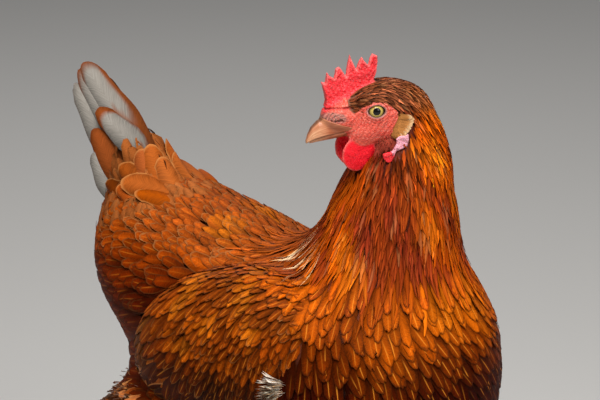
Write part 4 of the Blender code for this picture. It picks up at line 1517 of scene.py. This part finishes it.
def tail_base_field(p):
    """The rump with the base of the tail rising out of it."""
    return blended([no_wing_field(p), ellipsoid(p, *TAIL_BASE)], 0.012)


def build_tail_coverts(material):
    """Soft feathers that run up over the base of the tail, and broad ones over them at its sides."""
    axis = turned(TAIL_BASE[2])[:, 1]
    knots = [np.array(TAIL_BASE[0]) + axis * at for at in (-0.032, -0.020, -0.008, 0.002)]
    rows = tract(tail_base_field, knots, 50, 90, 0.09, tilt=(0, 15))
    rows = picked(rows, no_wing_field(rows[0]) > -0.004)
    places, ways, share, angle = picked(rows, thinned(*rows[:2], np.full(len(rows[0]), 0.0062), 1.6))
    many, few = len(places), 2 * len(BROAD)
    small = grown(
        tail_base_field, places, ways, np.full(many, 0.026), np.full(many, 0.0112), FLIGHT_STATIONS,
        (0.5, 0.75), 9, 0.0030, 0.0006, camber=0.14, ragged=0.020, spread=6.0,
    )
    flips = np.repeat([(1, 1, 1), (-1, 1, 1)], len(BROAD), 0)
    table = np.tile(BROAD, (2, 1))
    roots, tips, widths, lift = table[:, :3] * flips, table[:, 3:6] * flips, table[:, 6], table[:, 7]
    lines = laid(tail_base_field, roots, tips, FLIGHT_STATIONS, lift)
    lengths = np.linalg.norm(tips - roots, axis=1)
    outline = rounded(FLIGHT_STATIONS, 0.45, 0.72, 0.45)
    broad = vanes(*lines, lengths, widths, outline, 9, 0.20, 0.0004, (0.22, 0.006, 2.4))
    orange = np.broadcast_to(toned(ORANGE, 0.3, BUFF) * 0.55, (many, 3))
    tint = np.concatenate([varied(orange, 0.12), *[BROAD_TINTS] * 2])
    fringe = np.concatenate([chance.uniform(0, 0.2, many), np.full(few, 0.6)])
    u = np.concatenate([angle / (2 * math.pi) + 0.5, 0.25 + 0.25 * (1 - flips[:, 0])])
    v = np.concatenate([share, 0.1 + 0.8 * np.arange(few) / few])
    marks = marked(many + few, fringe=fringe, edge=0.2)
    points = np.concatenate([small, broad])
    make_coat("coat_tail_base", points, FLIGHT_STATIONS, tint, marks, unwrapped(u, v), material)


# ---------------------------------------------------------------- loose down and streaks


def wisps(name, material, centres, ways, each, area, length, width, tints, lift, spread, depth=0.002):
    """Tufts of fine strands on the coat: each strand starts near its tuft's centre and fans out about
    its way, in a colour between the two given."""
    centres, ways = np.repeat(centres, each, 0), np.repeat(unit(np.array(ways, float)), each, 0)
    count = len(centres)
    roots = centres + chance.normal(0, area, (count, 3))
    for _ in range(3):
        roots = roots - slope(coat_field, roots) * coat_field(roots)[:, None]
    lengths = length * chance.uniform(0.40, 1.1, count)
    points = grown(
        coat_field, roots, ways, lengths, width * chance.uniform(0.6, 1.3, count), WISP_STATIONS,
        (0.4, 0.25), 3, depth, lift, camber=0.2, thick=0.0002, spread=spread, ragged=0.02,
    )
    tint = toned(np.broadcast_to(tints[0], (count, 3)), chance.random(count), tints[1])
    turn = 0.5 + np.arctan2(roots[:, 0], roots[:, 2] - 0.2) / (2 * math.pi)
    roots_map = unwrapped(turn, (roots[:, 1] + 0.15) / 0.35)
    make_coat(name, points, WISP_STATIONS, varied(tint, 0.12), marked(count), roots_map, material)


WING_EDGE = tenths((846, -562, 2318), (850, -556, 2285), (856, -540, 2250))
THIGH_REAR = tenths((700, 800, 1680), (620, 900, 1620), (520, 980, 1600), (420, 1040, 1600))
CHEEK = tenths(
    (-40, 150, -180), (-80, 160, -200), (-20, 140, -225), (-65, 155, -245), (-15, 145, -275),
    (-90, 150, -280),
)  # in the head's own axes, on her left


def build_down(material):
    """Down that shows at the wings' edges and behind the thighs, pale shafts fanned out over each
    shoulder and fine hair on the lower face."""
    steps = np.arange(5)[:, None]
    starts = (0.0280, -0.0390, 0.3190) + steps * (0.0034, -0.0036, -0.0026)
    ends = (0.0417, -0.0200, 0.2935) + steps * (0.0044, -0.0078, -0.0014)
    fan = np.array([(0, 1, 0.25), (0, 1, -0.10), (0, 1, -0.45)])
    rearward = np.tile((0.15, 1.0, -0.05), (4, 1))
    for side, sign in SIDES.items():
        mirror = (sign, 1, 1)
        wisps(
            f"down_wing_edge_{side}", material, WING_EDGE * mirror, fan, 40, 0.0012, 0.0145, 0.00022,
            ((1.0, 0.92, 0.80), (0.95, 0.58, 0.30)), 0.0032, 13,
        )
        wisps(
            f"down_thigh_{side}", material, THIGH_REAR * mirror, rearward * mirror, 360, 0.0060, 0.016,
            0.00026, ((0.80, 0.62, 0.48), (0.42, 0.13, 0.03)), 0.0018, 14,
        )
        wisps(
            f"shoulder_shafts_{side}", material, starts * mirror, (ends - starts) * mirror, 3, 0.0013,
            0.041, 0.00027, ((1.0, 0.70, 0.42), (0.85, 0.36, 0.10)), 0.0030, 2, 0.0,
        )
        cheek = from_head(CHEEK * (1, sign, 1))
        downward = [from_head(np.array((-0.45, 0.0, -1.0))) - HEAD_AT] * len(cheek)
        wisps(
            f"cheek_hair_{side}", material, cheek, downward, 22, 0.0022, 0.0040, 0.00018,
            ((0.60, 0.100, 0.050), (0.24, 0.050, 0.020)), 0.0005, 14,
        )


EAR = tenths(
    (-78, -148, -150, -160, 48), (-74, -132, -172, -146, 52), (-72, -116, -186, -128, 54),
    (-73, -100, -198, -110, 56), (-75, -84, -208, -92, 56), (-78, -69, -216, -76, 54),
    (-82, -54, -219, -60, 50), (-86, -40, -208, -44, 46),
)  # forward and up of each root and tip in the head's own axes, and width


def build_ear_tufts(material, side):
    """The tan feathers that lie back over each ear, paler towards their round tips."""
    sign = SIDES[side]
    count, columns = len(EAR), 9
    out = np.full(count, 0.0165 * sign)
    roots, tips = (from_head(np.stack([EAR[:, k], out, EAR[:, k + 1]], -1)) for k in (0, 2))
    lines = laid(coat_field, roots, tips, FLIGHT_STATIONS, 0.0014 + 0.00012 * np.arange(count))
    lengths = np.linalg.norm(tips - roots, axis=1)
    outline = rounded(FLIGHT_STATIONS, 0.5, 0.72, 0.6)
    points = vanes(*lines, lengths, EAR[:, 4], outline, columns, 0.08, 0.00022, (0.16, 0.015, 2.2))
    along = pattern_places(FLIGHT_STATIONS, columns)[:, 1]
    ochre = varied(np.broadcast_to((0.38, 0.150, 0.040), (count, 3)), 0.10)[:, None]
    tips_pale = 0.7 * ramp(along, 0.78, 0.98)[None]
    tint = toned(np.repeat(ochre, len(along), 1), tips_pale, (0.78, 0.52, 0.28))
    at = 0.03 + 0.008 * np.arange(count)
    roots_map = unwrapped(0.45 + 0.1 * (sign < 0), at, 0)
    marks = marked(count, edge=0.2)
    make_coat(f"ear_tuft_{side}", points, FLIGHT_STATIONS, tint, marks, roots_map, material)


# ---------------------------------------------------------------- eyes, bill and claws


def build_eye(material, side, rows=40, columns=64):
    """A ball with its map round the eye's axis: the angle from the axis as a share of a right angle,
    and the turn about it."""
    sign = SIDES[side]
    tilt = np.linspace(0.004, math.pi - 0.004, rows)
    turn = full_turn(columns)
    axis = EYE_AXIS * (1, sign, 1)
    forward = unit(np.cross(axis, (0, 0, 1.0)))
    ring = np.cos(turn)[:, None] * forward + np.sin(turn)[:, None] * np.cross(forward, axis)
    rings = np.cos(tilt)[:, None, None] * axis + np.sin(tilt)[:, None, None] * ring
    bulge = 1 + 0.05 * ramp(tilt, 0.9, 0.0)
    rings = rings * (EYE_RADIUS * bulge)[:, None, None] + np.array((0, EYE_OUT * sign, 0))
    points, faces = capped_tube(rings)
    faces = facing_out(points, faces)
    piece = make_piece(f"eyeball_{side}", from_head(points), faces, material, [f"eye_{side}"])
    add_tube_map(piece, (tilt / (math.pi / 2))[:, None], np.abs(turn / math.pi - 1), [(0, 0), (2, 0)])


UPPER_BILL = tenths(
    (100, -60, -118, 80), (170, -56, -130, 78), (230, -52, -142, 72), (290, -50, -154, 62),
    (337, -73, -168, 52), (376, -111, -185, 38), (397, -154, -200, 26), (408, -190, -212, 14),
)  # forward, top, bottom and half width, from midway between the eyes
LOWER_BILL = tenths(
    (120, -125, -172, 80), (180, -132, -178, 77), (240, -144, -188, 69), (290, -155, -196, 54),
    (340, -170, -204, 39), (372, -186, -210, 24), (388, -196, -212, 12),
)


def horn_field(q, stations, upper):
    """One half of the bill: at each place along it half an oval, flat along the mouth."""
    x = np.clip(q[..., 0], stations[0, 0], stations[-1, 0])
    top, bottom, half = (np.interp(x, stations[:, 0], stations[:, k]) for k in (1, 2, 3))
    mouth, far = (bottom, top) if upper else (top, bottom)
    rise = (q[..., 2] - mouth) / (far - mouth)
    near = (np.abs(rise) ** 2.2 + np.abs(q[..., 1] / half) ** 2.2) ** (1 / 2.2)
    scale = np.minimum(half, top - bottom)
    ends = np.maximum(stations[0, 0] - q[..., 0], q[..., 0] - stations[-1, 0])
    cut = (mouth - q[..., 2]) * (1 if upper else -1)
    return np.maximum(np.maximum((near - 1) * scale, cut), ends)


def upper_bill_field(q):
    """The upper bill, with the horn that runs back along the edge of the mouth over the skin."""
    core = horn_field(q, UPPER_BILL, True)
    line = (q[..., 2] + 0.0056) - (q[..., 0] - 0.0300) * 0.30
    low = -0.0118 - (q[..., 0] - 0.0125) * 0.19 - q[..., 2]
    sheath = np.maximum(skull_field(q) - 0.00045, np.maximum(line, np.maximum(low, 0.0135 - q[..., 0])))
    return blended([core, sheath], 0.0012)


def lower_bill_field(q):
    return horn_field(q, LOWER_BILL, False)


def build_bill(material):
    """Both halves of the bill, darker along the ridge, with painted shade along the mouth, paler at the tip.
    """
    for half, field, stations in (
        ("upper", upper_bill_field, UPPER_BILL),
        ("lower", lower_bill_field, LOWER_BILL),
    ):
        upper = half == "upper"
        points, faces = surface_of(field, (0.010, -0.0125, -0.0235), (0.0435, 0.0125, 0.0005), BILL_STEP)
        name = f"bill_{half}"
        piece = make_piece(f"{name}_horn", from_head(points), faces, material, [name])
        forward, top, bottom, _ = stations.T
        along = (points[:, 0] - forward[0]) / (forward[-1] - forward[0])
        middle = np.interp(points[:, 0], forward, 0.5 * (top + bottom))
        turn = np.abs(np.arctan2(points[:, 1], points[:, 2] - middle)) / math.pi
        add_map(piece, "vane", np.stack([turn, along], -1))
        mouth = np.interp(points[:, 0], forward, bottom if upper else top)
        low_edge = 0.9 * ramp(turn, 0.30, 0.50) if upper else 0.9
        tint = layered(
            np.broadcast_to((0.66, 0.44, 0.35), points.shape),
            (0.85 * ramp(along, 0.67, 0.54), (0.46, 0.20, 0.12)),
            (low_edge * ramp(along, 0.62, 0.90), (0.82, 0.72, 0.64)),
            # Painted shade along the mouth, where the two halves meet.
            (0.6 * ramp(np.abs(points[:, 2] - mouth), 0.0007, 0.0002), (0.28, 0.18, 0.13)),
            (0.85 * ramp(along, 1.05, 0.90) * ramp(turn, 0.24, 0.10) * upper, (0.16, 0.12, 0.10)),
        )
        add_colours(piece, "tint", tint)


CLAW_LENGTH = 0.0135
CLAW_ROOT = 0.0016  # of a claw's length that lies inside its toe


def claw_rings(sign, heading, length, rise, rows=20, columns=16):
    """A horn cone that leaves the toe level, lifts a little and curves down to its point. Its
    section is taller than wide, with a groove below."""
    line, radii = toe_curve(sign, heading, length, rise)
    s = np.linspace(0, 1, rows)
    along = length - CLAW_ROOT + s * CLAW_LENGTH
    base = line[-1, 2]
    height = base + 0.0012 * np.sin(math.pi * s) - (base - 0.0011) * s**2.2
    radius = radii[-1] * 0.66 * (1 - s) ** 0.8 + 0.0005
    x = line[0, 0] + along * math.sin(heading)
    y = line[0, 1] - along * math.cos(heading)
    turn = full_turn(columns)
    side = np.array((math.cos(heading), math.sin(heading), 0))
    groove = 1 - 0.22 * np.exp(-((np.abs(turn - 1.5 * math.pi) / 0.5) ** 2))
    out = np.cos(turn)[:, None] * side * 0.85 + np.sin(turn)[:, None] * np.array((0, 0, 1.1))
    return np.stack([x, y, height], -1)[:, None] + (radius[:, None] * groove)[..., None] * out


def build_claws(material):
    """A horn claw on each toe, its map running round it and then along it."""
    for sign, toe, *bend in toe_paths():
        rings = claw_rings(sign, *bend)
        points, faces = capped_tube(rings)
        points[:, 2] = np.maximum(points[:, 2], 0.0001)
        name = f"claw_{toe}_{'left' if sign > 0 else 'right'}"
        faces = facing_out(points, faces)
        piece = make_piece(f"{name}_horn", points, faces, material, [name])
        rows, columns = rings.shape[:2]
        turn = np.abs(np.arange(columns) * 2 / columns - 1)
        add_tube_map(piece, turn, np.linspace(0, 1, rows)[:, None], [(0.5, 0), (0.5, 1)])
        add_colours(piece, "tint", np.full((len(points), 3), 0.8))


def build_scutes(material, side, rows=24):
    """Plates down the front of the shank and across the top of each toe, each lapping over the next.
    Fault: foot_field is her left foot's and is folded over in Y here, not in X. So the right foot's
    plates settle on the left leg, and those of the left front toes lie askew."""
    sign = SIDES[side]
    plates = []  # root, way, width and length of each
    samples = 60
    line, radii = shank_curve(samples)
    for row in range(rows):
        i = int((0.94 - row * 0.036) / 1.1 * (samples - 1))
        for lean in (-0.55, 0.55):
            root = line[i] + unit(np.array((lean, -1.0, 0))) * radii[i]
            plates.append((*root, 0, -0.25, -1.0, radii[i] * 1.5, 0.0050))
    for toe_side, _, heading, length, rise in toe_paths():
        if toe_side > 0:
            toe, radii = toe_curve(1, heading, length, rise, samples)
            for share in np.arange(0.16, 0.97, 0.0030 / length):
                i = int(share * (samples - 1))
                root = toe[i] + np.array((0, 0, radii[i]))
                plates.append((*root, math.sin(heading), -math.cos(heading), 0, radii[i] * 1.9, 0.0044))
    plates = np.array(plates)
    roots, ways = plates[:, :3] * (sign, 1, 1), unit(plates[:, 3:6]) * (sign, 1, 1)

    def field(p):
        return foot_field(folded(p, 1))

    points = grown(
        field, roots, ways, plates[:, 7], plates[:, 6], PLATE_STATIONS, (0.5, 0.90, 0.8), 7, 0.0003,
        0.00035, camber=0.10, spread=1.0, ragged=0.01, round_off=0.30,
    )
    points[..., 2] = np.maximum(points[..., 2], 0.0002)
    tint = varied(np.broadcast_to(SHANK_YELLOW, roots.shape), 0.10)
    roots_map = unwrapped(0.5 + 0.4 * (roots[:, 0] / 0.1), roots[:, 2] / 0.12, 0.05)
    marks = marked(len(roots))
    make_coat(f"scutes_{side}", points, PLATE_STATIONS, tint, marks, roots_map, material)


# ---------------------------------------------------------------- floor, light and camera


def build_stage():
    bpy.ops.mesh.primitive_plane_add(size=40)
    floor = bpy.context.object
    floor.name = "floor"
    material, _, _ = new_material("floor", 0.9, Base_Color=(0.62, 0.60, 0.57))
    floor.data.materials.append(material)


LIGHTS = {
    "sky": ((-0.40, -0.35, 1.35), 0.9, 21),
    "front": ((-0.3, -2.1, 1.1), 1.0, 13),
    "rear": ((0.9, 0.9, 1.2), 0.8, 3),
}  # place, size and power


def build_lights():
    for name, (place, size, power) in LIGHTS.items():
        data = bpy.data.lights.new(name, "AREA")
        data.size, data.energy = size, power
        lamp = bpy.data.objects.new(name, data)
        lamp.location = place
        aim = Vector((0, 0, 0.25)) - lamp.location
        lamp.rotation_euler = aim.to_track_quat("-Z", "Y").to_euler()
        bpy.context.scene.collection.objects.link(lamp)
    world = bpy.data.worlds.new("world")
    bpy.context.scene.world = world
    world.use_nodes = True
    sky = world.node_tree.nodes["Background"].inputs
    sky["Color"].default_value = (0.90, 0.92, 0.95, 1)
    sky["Strength"].default_value = 0.16


CAMERA_AZIMUTH, CAMERA_ELEVATION = math.radians(-50), math.radians(18)
CAMERA_AWAY = 2.2
CAMERA_AIM = (0, -BOX_MIDDLE_Y, 0.3192)


def build_camera():
    level = math.cos(CAMERA_ELEVATION)
    aside, front = math.sin(CAMERA_AZIMUTH) * level, -math.cos(CAMERA_AZIMUTH) * level
    out = Vector((aside, front, math.sin(CAMERA_ELEVATION)))
    data = bpy.data.cameras.new("camera")
    data.lens, data.sensor_width = 209.5, 36
    camera = bpy.data.objects.new("camera", data)
    camera.location = Vector(CAMERA_AIM) + out * CAMERA_AWAY
    camera.rotation_euler = (-out).to_track_quat("-Z", "Y").to_euler()
    bpy.context.scene.collection.objects.link(camera)
    bpy.context.scene.camera = camera


# ---------------------------------------------------------------- the model

bpy.context.scene.view_settings.view_transform = "Standard"
barbs = barb_group()
feathering = plumage_material("plumage", barbs, 0.16, 110.0)
long_finish = plumage_material("tail plumage", barbs, 0.22, 260.0)
build_skin(skin_material())
build_body_coat(feathering, plumage_material("hackle", barbs, 0.45, 28.0))
eye_finish = eye_material()
scales = scale_material()
build_bill(horn_material("bill horn", (0.98, 0.62, 0.40), (0.70, 0.36, 0.19)))
build_claws(horn_material("claw horn", (0.55, 0.42, 0.28), (0.16, 0.11, 0.08)))
for side in SIDES:
    build_wing_coat(feathering, side)
    build_flight_feathers(feathering, side)
    build_thigh_coat(feathering, side)
    build_tail(long_finish, side)
    build_ear_tufts(feathering, side)
    build_scutes(scales, side)
    build_eye(eye_finish, side)
build_tail_coverts(long_finish)
build_down(feathering)
build_stage()
build_lights()
build_camera()
